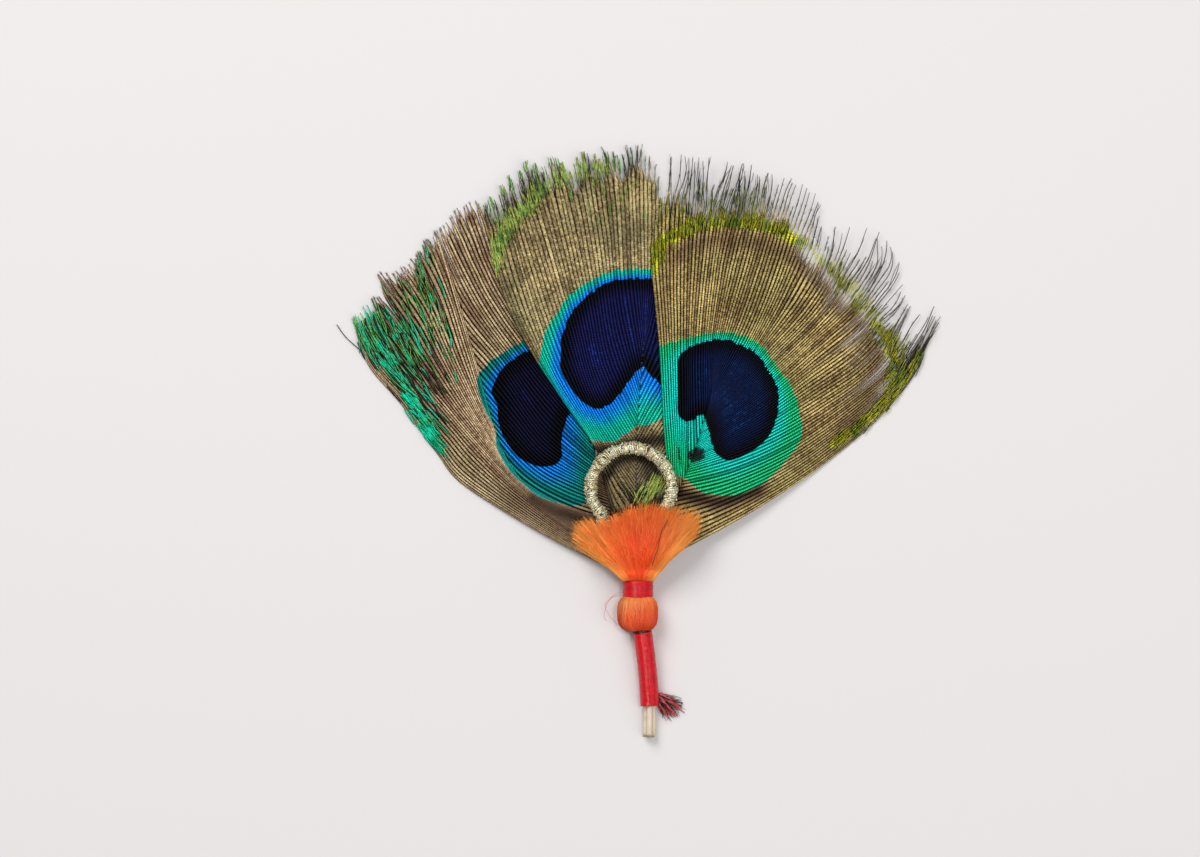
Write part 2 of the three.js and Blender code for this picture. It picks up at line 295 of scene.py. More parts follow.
def lift_right(turn):
    return LAYER_STEP * (1 - smooth((turn - RIGHT_EDGE) / EDGE_SLOPE)) + lift_middle(turn)


LAYERS = {
    "left": (NECK_HEIGHT - LAYER_STEP, lambda turn: 0 * turn),
    "middle": (NECK_HEIGHT, lift_middle),
    "right": (NECK_HEIGHT + LAYER_STEP, lift_right),
}


def layer_height(side, places):
    """The height of the middle of a vane over these places."""
    neck, lift = LAYERS[side]
    x, y = places[..., 0], places[..., 1]
    fall = smooth((np.hypot(x, y) - NECK_RADIUS) / (REST_RADIUS - NECK_RADIUS))
    return neck + (REST_HEIGHT + lift(np.degrees(np.arctan2(x, y))) - neck) * fall


def on_layer(side, places, above=0.0):
    return np.concatenate([places, (layer_height(side, places) + above)[..., None]], axis=-1)


# ---- the feathers ----
# corner: where the quill sits in the bundle, in degrees. sink: the rachis's height over its vane's middle.
# sheaves: runs of barbs between guide barbs, in clockwise order, each guide from root to tip.
#     over: lifts the barbs at each guide, and its last value serves the guides that are left.
#     pitch: from one barb to the next. widest, cover: the widest barb, and barb width to pitch.
#     dense: (guide, times), from which guide on there are how many times the barbs.
# ring, heart: outlines of the eye's bright ring and dark heart.
# lush, dusk: (line, width, strength) of the green and of the darker areas.
# open: the same for worn places, where the barbs have lost their webs.
# web_edge: where the closed web ends. Without it the web ends fringe millimetres from the tips.
# strands: loose barbules, as (line, spread, count, shortest, longest, hue, lean towards the top, width).
#     A strand of hue -1 is a dark hair.
# strays: single long hairs. fringe: length of the loose tips. frayed: how thin they may get.
# clump: how much they cling together. ragged: how unevenly they end. rough: disorder of the barbules.
# broken: (share, loss) of barbs that are cut off. short: (spot, radius, loss) where all end early.
# lines: how strongly the painted shade shows, in the dark lines between barbs and on barbs of low tone.
FEATHERS = {
    "left": {
        "corner": 210,
        "sink": -0.35,
        "rachis": [(-1.6, 8.7), (-4, 17.2), (-6.7, 25.7), (-10.3, 33.8), (-14.6, 41.7)],
        "sheaves": [
            {"over": [-0.12], "guides": [
                [(-3.2, 13.5), (-11, 15.6), (-19.5, 20), (-26, 27), (-31.5, 36), (-38, 47), (-43.2, 56)],
                [(-4.1, 17), (-11.8, 19.7), (-18.4, 23.7), (-24.6, 30.7), (-30.4, 38.7), (-37.1, 48.7),
                 (-42.9, 57)],
                [(-4.6, 19), (-10.4, 21.5), (-16.3, 24.7), (-21.3, 30), (-26.6, 36), (-32.9, 44.5),
                 (-38.9, 57)],
                [(-5.6, 22.7), (-15.4, 30.6), (-22.7, 40.8), (-30.5, 50.8), (-35.6, 62.3)],
                [(-7.6, 27.8), (-17.3, 39.1), (-26.2, 51.1), (-32.6, 64.5)],
                [(-10.1, 33.3), (-18.1, 43.9), (-25.2, 55), (-30.4, 67.2)],
                [(-12.6, 37.8), (-18.4, 47.6), (-23.4, 57.9), (-27.2, 68.7)],
                [(-14.6, 41.7), (-18.2, 50.1), (-21.6, 58.6), (-24.9, 67)],
                [(-12.4, 38), (-13.6, 44.5), (-15.4, 50.5), (-17.4, 56.5)],
                [(-10, 33.3), (-9.8, 38.8), (-10.8, 44.2), (-11.9, 49.5)],
                [(-5.3, 22.3), (-5.2, 27), (-5.8, 31.6), (-6.6, 36.2)],
                [(-2.5, 12), (-2.2, 15.5), (-2.5, 18.9), (-3.2, 22.3)],
            ]},
            {"over": [0.14], "pitch": 0.44, "widest": 0.9, "guides": [
                [(-1.2, 6.3), (-6.3, 8.3), (-16.8, 13.7), (-28.9, 21.5), (-33.4, 27), (-39.4, 35),
                 (-45.1, 41.3), (-47.9, 49)],
                [(-1.9, 9), (-10.4, 13.3), (-19.6, 20.3), (-26.1, 26.7), (-36.9, 39.3), (-42.1, 46.2),
                 (-45.1, 51.8)],
                [(-2.6, 11.7), (-11.3, 15.8), (-19.6, 22.3), (-25.6, 32), (-29.8, 40.5), (-34.3, 51.2),
                 (-39.2, 58.3)],
                [(-3.6, 15), (-12.9, 18.2), (-20.6, 23), (-23.8, 30.3), (-26.9, 41.7), (-30.3, 53.3),
                 (-33.2, 63.8)],
            ]},
        ],
        "ring": [
            (-18.9, 45), (-21.9, 43.3), (-24.8, 41.3), (-26.6, 39), (-26.1, 35.8), (-24.8, 32.7),
            (-23.6, 30.7), (-23.3, 27.3), (-21.3, 23.7), (-18.9, 21.3), (-16.1, 19.2), (-11.1, 17.8),
            (-8.6, 18.3), (-7.4, 20.5), (-7.2, 24), (-7, 28), (-7, 36), (-11, 43), (-15.5, 45.5),
        ],
        "heart": [
            (-18.4, 43.7), (-20.8, 42.2), (-22.9, 40.2), (-24.4, 36.8), (-23.4, 34.5), (-23.3, 31.3),
            (-22.3, 29), (-20.3, 26.2), (-17.8, 24.7), (-15.3, 24.2), (-13.4, 24.8), (-12.6, 26.2),
            (-12.6, 29), (-11.6, 32.5), (-9.6, 34.5), (-8.8, 37.8), (-10.9, 41.7), (-14.9, 44.2),
        ],
        "lush": [
            ([(-47, 49), (-45, 45.5), (-41, 40.5), (-37, 34.5), (-33, 27.5)], 1.3, 0.75),
            ([(-46, 50), (-44, 47)], 2.4, 0.9),
        ],
        "dusk": [
            ([(-4, 11), (-20, 19)], 4.2, 0.56),
            ([(-5, 14.2), (-9, 15.2), (-13, 16.6), (-17.4, 19)], 2.3, 0.74),
            ([(-4.5, 13), (-6.2, 20), (-6.4, 25)], 2.4, 0.62),
            ([(-45, 46), (-38, 37), (-33, 28)], 3.2, 0.48),
            ([(-42, 53), (-38, 46), (-34, 40)], 4.0, 0.48),
            ([(-36, 60), (-34, 52)], 2.4, 0.45),
        ],
        "strands": [
            ([(-47.4, 49), (-45.4, 46.4), (-42.5, 43)], 0.9, 62, 2.5, 6, 0.6, 0.05, 0.3),
            ([(-45.5, 46), (-41.5, 41.5), (-37.6, 35.5), (-33.8, 28)], 0.55, 50, 3, 7, 0.1, 0.0, 0.36),
            ([(-38.6, 37), (-33.8, 28.5)], 0.5, 26, 2, 5, 0.0, 0.0, 0.46),
            ([(-41, 44), (-36.5, 37), (-33, 30)], 1.6, 30, 2, 5, 0.2, 0.1, 0.32),
            ([(-42.5, 51), (-39.6, 46), (-37, 42)], 2.2, 70, 2, 5, 0.56, 0.2, 0.36),
            ([(-37, 58), (-35, 52), (-33, 46)], 1.6, 64, 2, 5.5, 0.72, 0.3, 0.34),
            ([(-36, 60.5), (-34.5, 57)], 0.8, 12, 2, 5, 0.3, 0.4, 0.32),
            ([(-38, 50), (-34, 39)], 2.4, 70, 1.5, 4.0, 0.6, 0.15, 0.3),
            ([(-44, 48), (-38, 42), (-35, 36)], 2.4, 110, 2, 6, -1, 0.1, 0.3),
        ],
        "strays": [[(-50.1, 47.9), (-48.6, 45.8), (-46, 43.4), (-43, 39.9), (-40.2, 36)]],
        "fringe": 0.7,
        "frayed": 0.24,
        "clump": 0.2,
        "lines": 1.8,
        "broken": (0.07, 0.024),
        "ragged": 0.008,
        "rough": 0.5,
    },
    "middle": {
        "corner": 90,
        "sink": -0.1,
        "rachis": [(-0.2, 8.7), (-0.2, 18.1), (-0.2, 27.6), (0.3, 37.1), (1.2, 46.5)],
        "sheaves": [
            {"over": [0.0], "pitch": 0.64, "cover": 1.2, "dense": (8, 1.3), "guides": [
                [(-0.4, 9.3), (-3.6, 14.7), (-5.1, 20.3), (-6.6, 26.7), (-12.9, 36), (-19.4, 46.7),
                 (-23.1, 56.2), (-25.6, 68.2)],
                [(-0.2, 17.8), (-4.3, 24), (-7.9, 30.3), (-13.6, 39.5), (-17.3, 49), (-21.1, 61.8),
                 (-23.2, 70.3)],
                [(-0.2, 23.7), (-7.6, 35.3), (-11.9, 48.4), (-15.9, 61.5), (-19.9, 74.7)],
                [(-0.1, 30.3), (-5.5, 41), (-7.8, 52.7), (-10.1, 64.4), (-12.8, 76)],
                [(0.4, 37.8), (-2.6, 50.9), (-3.8, 64.3), (-5.2, 77.7)],
                [(1.2, 46.2), (0.9, 56.7), (0.7, 67.4), (0.5, 78)],
                [(1.2, 45.4), (2.4, 54), (2.8, 63), (3, 76.5)],
                [(1.1, 43.7), (3, 50), (4.2, 58), (4.4, 66)],
                [(0.4, 37.8), (2.6, 42.4), (4.5, 47.1), (5.6, 52)],
                [(-0.1, 30.3), (2.2, 34.7), (4.6, 39.1), (6.6, 43.7)],
                [(-0.2, 23.7), (2, 27.3), (4.5, 30.9), (6.9, 34.5)],
                [(-0.2, 17.8), (1.9, 21.4), (4.7, 25.2), (7.6, 29)],
                [(-0.2, 11.6), (1.6, 15.4), (4.2, 19.8), (7, 24)],
                [(-0.1, 8.4), (1.8, 11.2), (4.4, 14.8), (7.6, 18.4)],
            ]},
        ],
        "ring": [
            (-1.4, 57), (-6.8, 55.7), (-11.4, 52.3), (-13.6, 49.2), (-15.1, 46.8), (-15.9, 43.8),
            (-16.3, 40), (-15.3, 35.7), (-12.6, 31.3), (-8.8, 29), (-4.1, 28.5), (-2.3, 29.5), (-0.3, 31),
            (1.9, 31.3), (4.1, 32.5), (9.5, 35), (13, 43.7), (10, 52), (3.8, 56.3),
        ],
        "heart": [
            (-3.1, 55.5), (-7.3, 53.8), (-10.8, 50.2), (-12.6, 46.3), (-12.8, 43), (-12.8, 40.3),
            (-11.1, 37.2), (-9.1, 35), (-7.8, 34.2), (-6.3, 33.8), (-4.8, 34.5), (-3.3, 36), (-1.6, 38.3),
            (0.8, 41), (1.9, 39.8), (3.4, 38.2), (5.8, 36.8), (8.8, 37.7), (10.8, 41.3), (10.8, 45.3),
            (9, 50.3), (6, 54), (2.4, 55.5),
        ],
        "lush": [
            ([(-24.2, 57), (-22.9, 62), (-20.4, 65.7), (-17.9, 67.8), (-15.4, 71.2),
              (-11.2, 73.7)], 1.2, 0.7),
            ([(-25, 69), (-20, 74), (-13, 77), (-4, 78)], 1.6, 0.5),
            ([(1.2, 17.6), (3.6, 22)], 0.9, 0.7),
        ],
        "dusk": [
            ([(0, 12), (0, 28)], 5.5, 0.46),
            ([(-5.6, 21.6), (-3.6, 24.8), (-1, 25.8), (1.8, 24.8), (3.6, 21.8)], 1.2, 0.78),
            ([(1.8, 16), (2.2, 21), (1, 26)], 1.8, 0.7),
            ([(-8.2, 27), (-4, 27), (0, 28.3), (4.4, 28.8)], 1.8, 0.78),
            ([(-5.7, 23), (-5.2, 19), (-3.2, 16.4), (1, 17)], 1.2, 0.74),
            ([(-22, 67), (-18, 71), (-15, 73)], 1.6, 0.6),
        ],
        "strands": [
            ([(-24.2, 57), (-22.9, 62), (-20.4, 65.7), (-17.9, 67.8), (-15.4, 71.2), (-11.2, 73.7),
              (-4.6, 74.5)], 0.75, 330, 1.2, 3.2, 0.85, 0.05, 0.22),
            ([(-25.3, 68), (-20, 73.5), (-13, 76), (-6, 77.5), (1, 78)], 1.3, 260, 1.5, 4, 0.3, 0.03, 0.2),
            ([(-25, 66), (-20, 71), (-13, 75), (-6, 76), (3, 76)], 1.6, 240, 1.5, 4.5, -1, 0.03, 0.16),
            ([(-0.3, 18), (2.4, 20.5), (3.8, 22)], 0.7, 70, 1.5, 3.5, 0.95, 0.1, 0.26),
            ([(-2.5, 19), (3.5, 20)], 1.5, 40, 2, 4, -1, 0.1, 0.22),
            ([(-9, 70), (0, 71)], 2.5, 40, 1, 2.5, 0.6, 0.1, 0.2),
        ],
        "strays": [],
        "fringe": 3.2,
        "frayed": 0.5,
        "clump": 0.35,
        "lines": 1.3,
        "broken": (0.12, 0.04),
        "ragged": 0.02,
        "rough": 1.0,
    },
    "right": {
        "corner": 330,
        "sink": -0.35,
        "rachis": [(1.9, 8.7), (4.6, 15.9), (8, 23), (10.5, 30.3), (12.4, 37.8)],
        "sheaves": [
            {"over": [0.16, 0.16, 0.14, 0.0], "dense": (9, 1.18), "guides": [
                [(3.8, 14), (4.9, 18.7), (5, 24.5), (4.4, 32), (3.7, 44.5), (2.7, 57.3), (2.9, 70)],
                [(5.1, 17), (5.9, 20.7), (6.1, 26.2), (5.6, 35.3), (5.1, 47), (4.4, 62), (4.9, 77)],
                [(6.4, 19.7), (6.9, 23.7), (7, 28.7), (6.7, 37), (6.6, 47.7), (6.7, 61.7), (7.6, 75.7)],
                [(7.6, 22), (8.1, 34.1), (8, 48), (8.2, 61.8), (9.2, 75.7)],
                [(9.1, 25.7), (8.8, 42.4), (9.7, 59.2), (11.8, 75.8)],
                [(10.9, 31.7), (10.8, 46.4), (12.3, 61), (15.4, 75.3)],
                [(12.2, 37), (12.6, 45.6), (14.7, 58), (18.9, 74.5)],
                [(12.4, 37.8), (14.6, 45.6), (18.3, 57.5), (22.6, 73.3)],
                [(11.8, 35), (19, 46.1), (24, 58.4), (27.6, 71.2)],
                [(11.2, 32.8), (16.3, 37), (21.9, 43.3), (28.1, 50), (32.4, 56.7), (35.4, 65)],
                [(10.4, 29.8), (16.8, 34), (24.1, 39.8), (30.8, 45.8), (36.8, 51.5), (40.6, 57.3),
                 (41.4, 62.3)],
                [(9.6, 27), (19.5, 32), (28.7, 38.4), (37.6, 45.1), (44.1, 54)],
                [(8.4, 24), (19.7, 27.9), (30.1, 33.6), (39.8, 40.8), (46.2, 50.7)],
                [(6.8, 20.3), (15.4, 22.3), (25.4, 26.7), (35.1, 33.3), (43.1, 40.3), (47.4, 46.7),
                 (49.8, 51.3)],
                [(4.4, 15.3), (13.8, 18.2), (24.6, 23.3), (34.6, 30.3), (42.6, 37.3), (47.4, 44.5),
                 (50.4, 50)],
                [(2.1, 8.3), (10.4, 12.3), (19.6, 17.3), (30.4, 24.3), (39.1, 31.3), (45.8, 39.3),
                 (48.8, 45.3), (51.4, 49)],
            ]},
        ],
        "ring": [
            (3.3, 44), (6.6, 44.9), (10.4, 46), (13.8, 46.5), (17, 46), (20.4, 44.3), (23.4, 40.3),
            (25.8, 36.8), (27.1, 32), (27.1, 29), (25.4, 26.2), (21.4, 22), (17.1, 19.8), (13.6, 19.6),
            (10.4, 20.3), (7.8, 22.4), (4.4, 23.7), (2, 28), (0.8, 34), (1, 40),
        ],
        "heart": [
            (6.8, 42.3), (6.7, 37), (6.8, 32.9), (8.6, 31.8), (10.7, 33), (11.6, 31.2), (12.4, 27.8),
            (13.4, 26.2), (15.5, 25.3), (19.6, 27.2), (22.3, 30), (23.4, 33.7), (23.4, 37.2),
            (21.9, 40.5), (19.6, 43.4), (17.1, 44.8), (13.8, 45.6), (11.2, 45.2), (8.7, 44.3),
        ],
        "lush": [
            ([(2.3, 57), (3.8, 61.2), (8.8, 64), (12, 65), (20.4, 64.6), (26, 62.5), (31, 58.5)], 1.15, 1.0),
            ([(31, 58.5), (37, 52.5), (40.5, 46.5)], 1.2, 0.8),
            ([(40.5, 46.5), (42.5, 42), (42, 37)], 1.0, 0.8),
            ([(32.8, 28), (37, 31), (41, 35)], 0.8, 1.0),
        ],
        "dusk": [
            ([(5.8, 58.8), (10.4, 61.6), (20.4, 61.4), (27, 58.4), (32, 53.5), (38, 46)], 2.1, 0.52),
            ([(40, 44), (38.5, 36), (33, 28)], 3.6, 0.52),
            ([(4.2, 47), (4.5, 57)], 1.8, 0.34),
            ([(31, 43), (33, 36), (27, 27)], 6.0, 0.1),
            ([(4.8, 21.4), (7, 19.8), (10, 19), (14, 18.4), (20, 20.4)], 1.9, 0.8),
            ([(9.2, 26), (10.1, 26.4)], 3.2, 1.0),
            ([(6.7, 27.4), (7.2, 24.6)], 0.8, 0.95),
        ],
        "strands": [
            ([(3, 58.5), (4.5, 62), (8.8, 64.4), (12, 65.4), (20.4, 65),
              (25, 63.6)], 0.6, 230, 1, 2.4, 0.8, 0.0, 0.24),
            ([(32, 58), (35.6, 53.6), (38.5, 49.5), (41, 45.5)], 0.8, 90, 1, 2.6, 0.75, 0.1, 0.22),
            ([(40.5, 46.5), (43, 43.5), (43, 38)], 0.9, 84, 1, 3, 0.9, 0.2, 0.24),
            ([(33, 28.4), (37, 31.2), (41, 34.8)], 0.45, 90, 1, 2.6, 0.95, 0.1, 0.26),
            ([(41, 35.3), (45, 39.4), (47.5, 43.5)], 0.5, 60, 1.5, 4, 0.7, 0.0, 0.24),
            ([(43, 38), (46, 42), (49, 46)], 1.2, 20, 2, 5, -1, 0.05, 0.16),
            ([(8, 68), (14, 69), (21, 69)], 1.7, 110, 1.2, 3.2, -1, 0.0, 0.13),
            ([(4, 67), (12, 68.5), (21, 68.5)], 1.3, 90, 1, 2.4, 0.15, 0.0, 0.16),
            ([(4, 72), (14, 73), (24, 71.5)], 2.0, 52, 3, 7, -1, 0.0, 0.11),
            ([(27, 66), (38, 57), (45, 48)], 2.2, 36, 3, 7, -1, 0.0, 0.12),
        ],
        "strays": [],
        "open": [
            ([(27.5, 60.5), (31, 57), (35, 52.5)], 1.6, 0.72),
            ([(33.5, 52), (29.5, 56)], 2.0, 0.3),
            ([(3.4, 66.5), (4.3, 75)], 1.1, 0.8),
            ([(42.5, 42.5), (48.5, 47.5)], 0.5, 0.9),
            ([(43.8, 40.2), (49, 46)], 0.4, 0.9),
        ],
        "web_edge": [(2.3, 73), (5.5, 70), (8.5, 67.4), (11.5, 66.4), (20.4, 66.5), (27, 64), (32, 58.3),
                     (36.3, 52.4), (39.6, 47.6), (41.7, 42), (41.4, 37.4), (39.4, 34), (36.8, 31),
                     (34.8, 28)],
        "fringe": 9.0,
        "frayed": 0.5,
        "clump": 0.35,
        "lines": 1.75,
        "broken": (0.24, 0.09),
        "short": [((33, 67.5), 2.4, 0.09), ((46, 56), 1.5, 0.04)],
        "ragged": 0.02,
        "rough": 0.7,
    },
}


def gradual(rng, count, reach):
    """A random number for each barb, that changes gradually over this many neighbours."""
    weights = np.hanning(2 * reach + 3)
    values = np.convolve(rng.normal(size=count + len(weights) - 1), weights, mode="valid")
    return (values / np.sqrt((weights ** 2).sum()))[:, None]


def gaps_between(lines):
    """The distance from each line to the next one, square to them, at each of their points."""
    tangent = directions(lines)
    step = np.diff(lines, axis=0)
    return np.abs(step[..., 0] * tangent[:-1, :, 1] - step[..., 1] * tangent[:-1, :, 0])


def evened(paths):
    """Barbs moved towards the middle between their neighbours, so that their edges meet."""
    for _ in range(EVENING_ROUNDS):
        paths = np.concatenate([paths[:1], (paths[:-2] + 2 * paths[1:-1] + paths[2:]) / 4, paths[-1:]])
    return paths


def barb_paths(sheaf, feather, rng):
    """Barbs laid between guides: their paths, how far each point is from the tip, and which guide is near."""
    lines = np.stack([even(guide, BARB_STEPS) for guide in sheaf["guides"]])
    # the number of barbs follows from how wide the sheaf is away from its roots and tips
    main_part = slice(int(0.18 * BARB_STEPS), int(0.78 * BARB_STEPS))
    widest = np.quantile(gaps_between(lines)[:, main_part], 0.8, axis=1)
    if "dense" in sheaf:
        first, times = sheaf["dense"]
        widest[first:] *= times
    across = np.r_[0, np.cumsum(widest)]
    count = int(across[-1] / sheaf.get("pitch", BARB_PITCH))
    at = np.interp(np.linspace(0, across[-1], count), across, np.arange(len(lines)))
    paths = evened(spline(lines, at))
    share = np.linspace(0, 1, BARB_STEPS)
    tangent = directions(paths)
    normal = np.stack([-tangent[..., 1], tangent[..., 0]], axis=-1)
    # neighbours bend alike inside the web, and each its own way in the fringe
    waves = sum(
        size * gradual(rng, count, reach) * np.sin(share * rate * pi + 1.5 * gradual(rng, count, reach))
        for size, rate, reach in BARB_WAVES
    )
    lengths = np.linalg.norm(np.diff(paths, axis=1), axis=-1).sum(1)
    loose = np.clip(1 - lengths[:, None] * (1 - share) / feather["fringe"], 0, 1)
    sway = (gradual(rng, count, 1) * 0.5 + gradual(rng, count, 5) * 0.5) * loose ** 1.6
    sway += 0.3 * gradual(rng, count, 1) * np.sin(loose * 5 + 2 * gradual(rng, count, 2)) * loose
    drift = rng.normal(0, 0.14, (count, 1)) * share ** 7 + sway * feather["fringe"] / 9
    # tips cling together, and some are cut off
    pull = rng.uniform(0, 0.2, (count, 1)) * share ** 9
    pull = pull + rng.uniform(0, feather["clump"], (count, 1)) * loose ** 2
    paths = cling(paths + normal * (waves * share ** 1.3 + drift)[..., None], pull, rng)
    often, loss = feather["broken"]
    reach = 1 - np.abs(rng.normal(0, feather["ragged"], count)) - (rng.random(count) < often) * loss
    for spot, radius, loss in feather.get("short", []):
        away = np.linalg.norm(paths[:, -1] - np.array(spot), axis=-1)
        reach -= loss * rng.uniform(0.2, 1.8, count) * np.exp(-(away / radius) ** 2)
    last = BARB_STEPS - 1
    cut = np.stack([spline(path, share * last * far) for path, far in zip(paths, reach, strict=True)])
    rim = (lengths * reach)[:, None] * (1 - share[None])
    return cut, rim, at


def cling(paths, pull, rng):
    """Neighbouring barbs lean together in twos to fours, by this share of the way to their middle."""
    count = len(paths)
    edges = np.cumsum(rng.integers(2, 5, count))
    tuft = np.searchsorted(edges, np.arange(count), side="right")
    for number in np.unique(tuft):
        group = tuft == number
        middle = paths[group].mean(0, keepdims=True)
        most = pull[group].max(0)[None, :, None]
        paths[group] = paths[group] * (1 - most) + middle * most
    return paths


def web_ends(paths, rim, feather, rng):
    """How far from its tip the closed web of each barb ends."""
    bare = np.full(len(paths), feather["fringe"])
    if "web_edge" in feather:
        away = distance_to(paths.reshape(-1, 2), even(feather["web_edge"], 40)).reshape(rim.shape)
        bare = np.take_along_axis(rim, away.argmin(1)[:, None], 1)[:, 0]
    return np.maximum(bare * (1 + rng.normal(0, 0.08, len(paths))), BARE_LEAST)[:, None]


def room_between(paths):
    """How wide each barb may be at each of its points, up to its neighbours on both sides."""
    gap = gaps_between(paths)
    return (np.concatenate([gap[:1], gap]) + np.concatenate([gap, gap[-1:]])) / 2


def strength(places, bands):
    """How strongly a marking shows at these places, from bands drawn along lines."""
    total = np.zeros(len(places))
    for line, width, most in bands:
        away = distance_to(places, even(line, 24)) / width
        total = np.maximum(total, most * np.exp(-away ** 2))
    return total


def eye_rings(places, feather):
    """Below 0 in the dark heart, 0 to 1 across the bright ring, above 1 outside it."""
    heart, ring = closed_outline(feather["heart"]), closed_outline(feather["ring"])
    from_heart = distance_to(places, heart) * np.where(inside(places, heart), -1, 1)
    from_ring = distance_to(places, ring) * np.where(inside(places, ring), -1, 1)
    across = from_heart / np.maximum(from_heart - from_ring, 0.2)
    level = np.where(from_ring > 0, 1 + from_ring / 10, across)
    return np.where(from_heart < 0, from_heart / 6, level)


def markings_of(feather):
    """A function that gives the numbers from which a vane's colours are worked out."""
    return lambda places: {
        "eye": eye_rings(places, feather),
        "lush": strength(places, feather["lush"]),
        "dusk": strength(places, feather["dusk"]),
    }


def vane(side, feather, rng):
    """The barbs of one feather with their barbules and loose strands, as a list of mesh objects."""
    parts, lays, rims = [], [], []
    shape = rod_shape(4, BARB_STEPS)
    markings = markings_of(feather)
    for number, sheaf in enumerate(feather["sheaves"]):
        paths, rim, at = barb_paths(sheaf, feather, rng)
        count = len(paths)
        tone = np.repeat(rng.random((count, 1)), BARB_STEPS, axis=1)
        slip = rng.normal(0, SLIP, (count, 1, 1))
        bare = web_ends(paths, rim, feather, rng)
        room = room_between(paths) * sheaf.get("cover", BARB_COVER)
        room = np.clip(room, BARB_NARROWEST, sheaf.get("widest", BARB_WIDEST))
        # the web joins the barbs up to its edge, and is gone where the feather is worn
        web = smooth((rim - bare) / WEB_FADE)
        if "open" in feather:
            worn = strength(paths.reshape(-1, 2), feather["open"]).reshape(rim.shape)
            web *= 1 - smooth(worn * rng.uniform(0.6, 1.6, (count, 1)))
        # skirt: half the width of a barb, which shrinks to a hair where there is no web
        skirt = HAIR_WIDTH + (room - HAIR_WIDTH) * web
        skirt *= 1 - rng.uniform(0, feather["frayed"], (count, 1)) * smooth(1 - rim / TIP_LENGTH)
        skirt = np.maximum(skirt * (1 - 0.5 * smooth(1 - rim)), HAIR_THINNEST) / 2
        over = np.interp(at, np.arange(len(sheaf["over"])), sheaf["over"])[:, None]
        lay = on_layer(side, paths, over + rng.normal(0, 0.02, (count, 1)))
        lay[..., 2] += np.abs(rng.normal(0, TIP_LIFT, (count, 1))) * np.linspace(0, 1, BARB_STEPS) ** 6
        parts.append(lay_rods(f"barbs_{number}", shape, lay, skirt, skirt * 0 + BARB_HALF_HEIGHT, markings,
                              slip, rim=np.minimum(rim / bare, 9), tone=tone))
        parts.append(barbules(feather, lay, rim, bare, room, web, tone, slip, rng, number))
        lays.append(lay)
        rims.append(rim)
    parts.append(strands(feather, np.concatenate(lays), np.concatenate(rims), rng))
    if feather["strays"]:
        paths = np.stack([on_layer(side, even(stray, 24), 0.2) for stray in feather["strays"]])
        width = np.full(paths.shape[:2], STRAY_HALF_WIDTH)
        parts.append(lay_rods("strays", rod_shape(3, 24), paths, width, width,
                              **plain_facts(width.shape, tone=0.4, rim=0.0)))
    return parts


def plain_facts(shape, **given):
    """The numbers of a barb outside all markings, apart from those given."""
    facts = {"eye": 2.0, "lush": 0.0, "dusk": 0.0, "rim": 20.0, "tone": 0.5} | given
    return {name: np.ones(shape) * value for name, value in facts.items()}


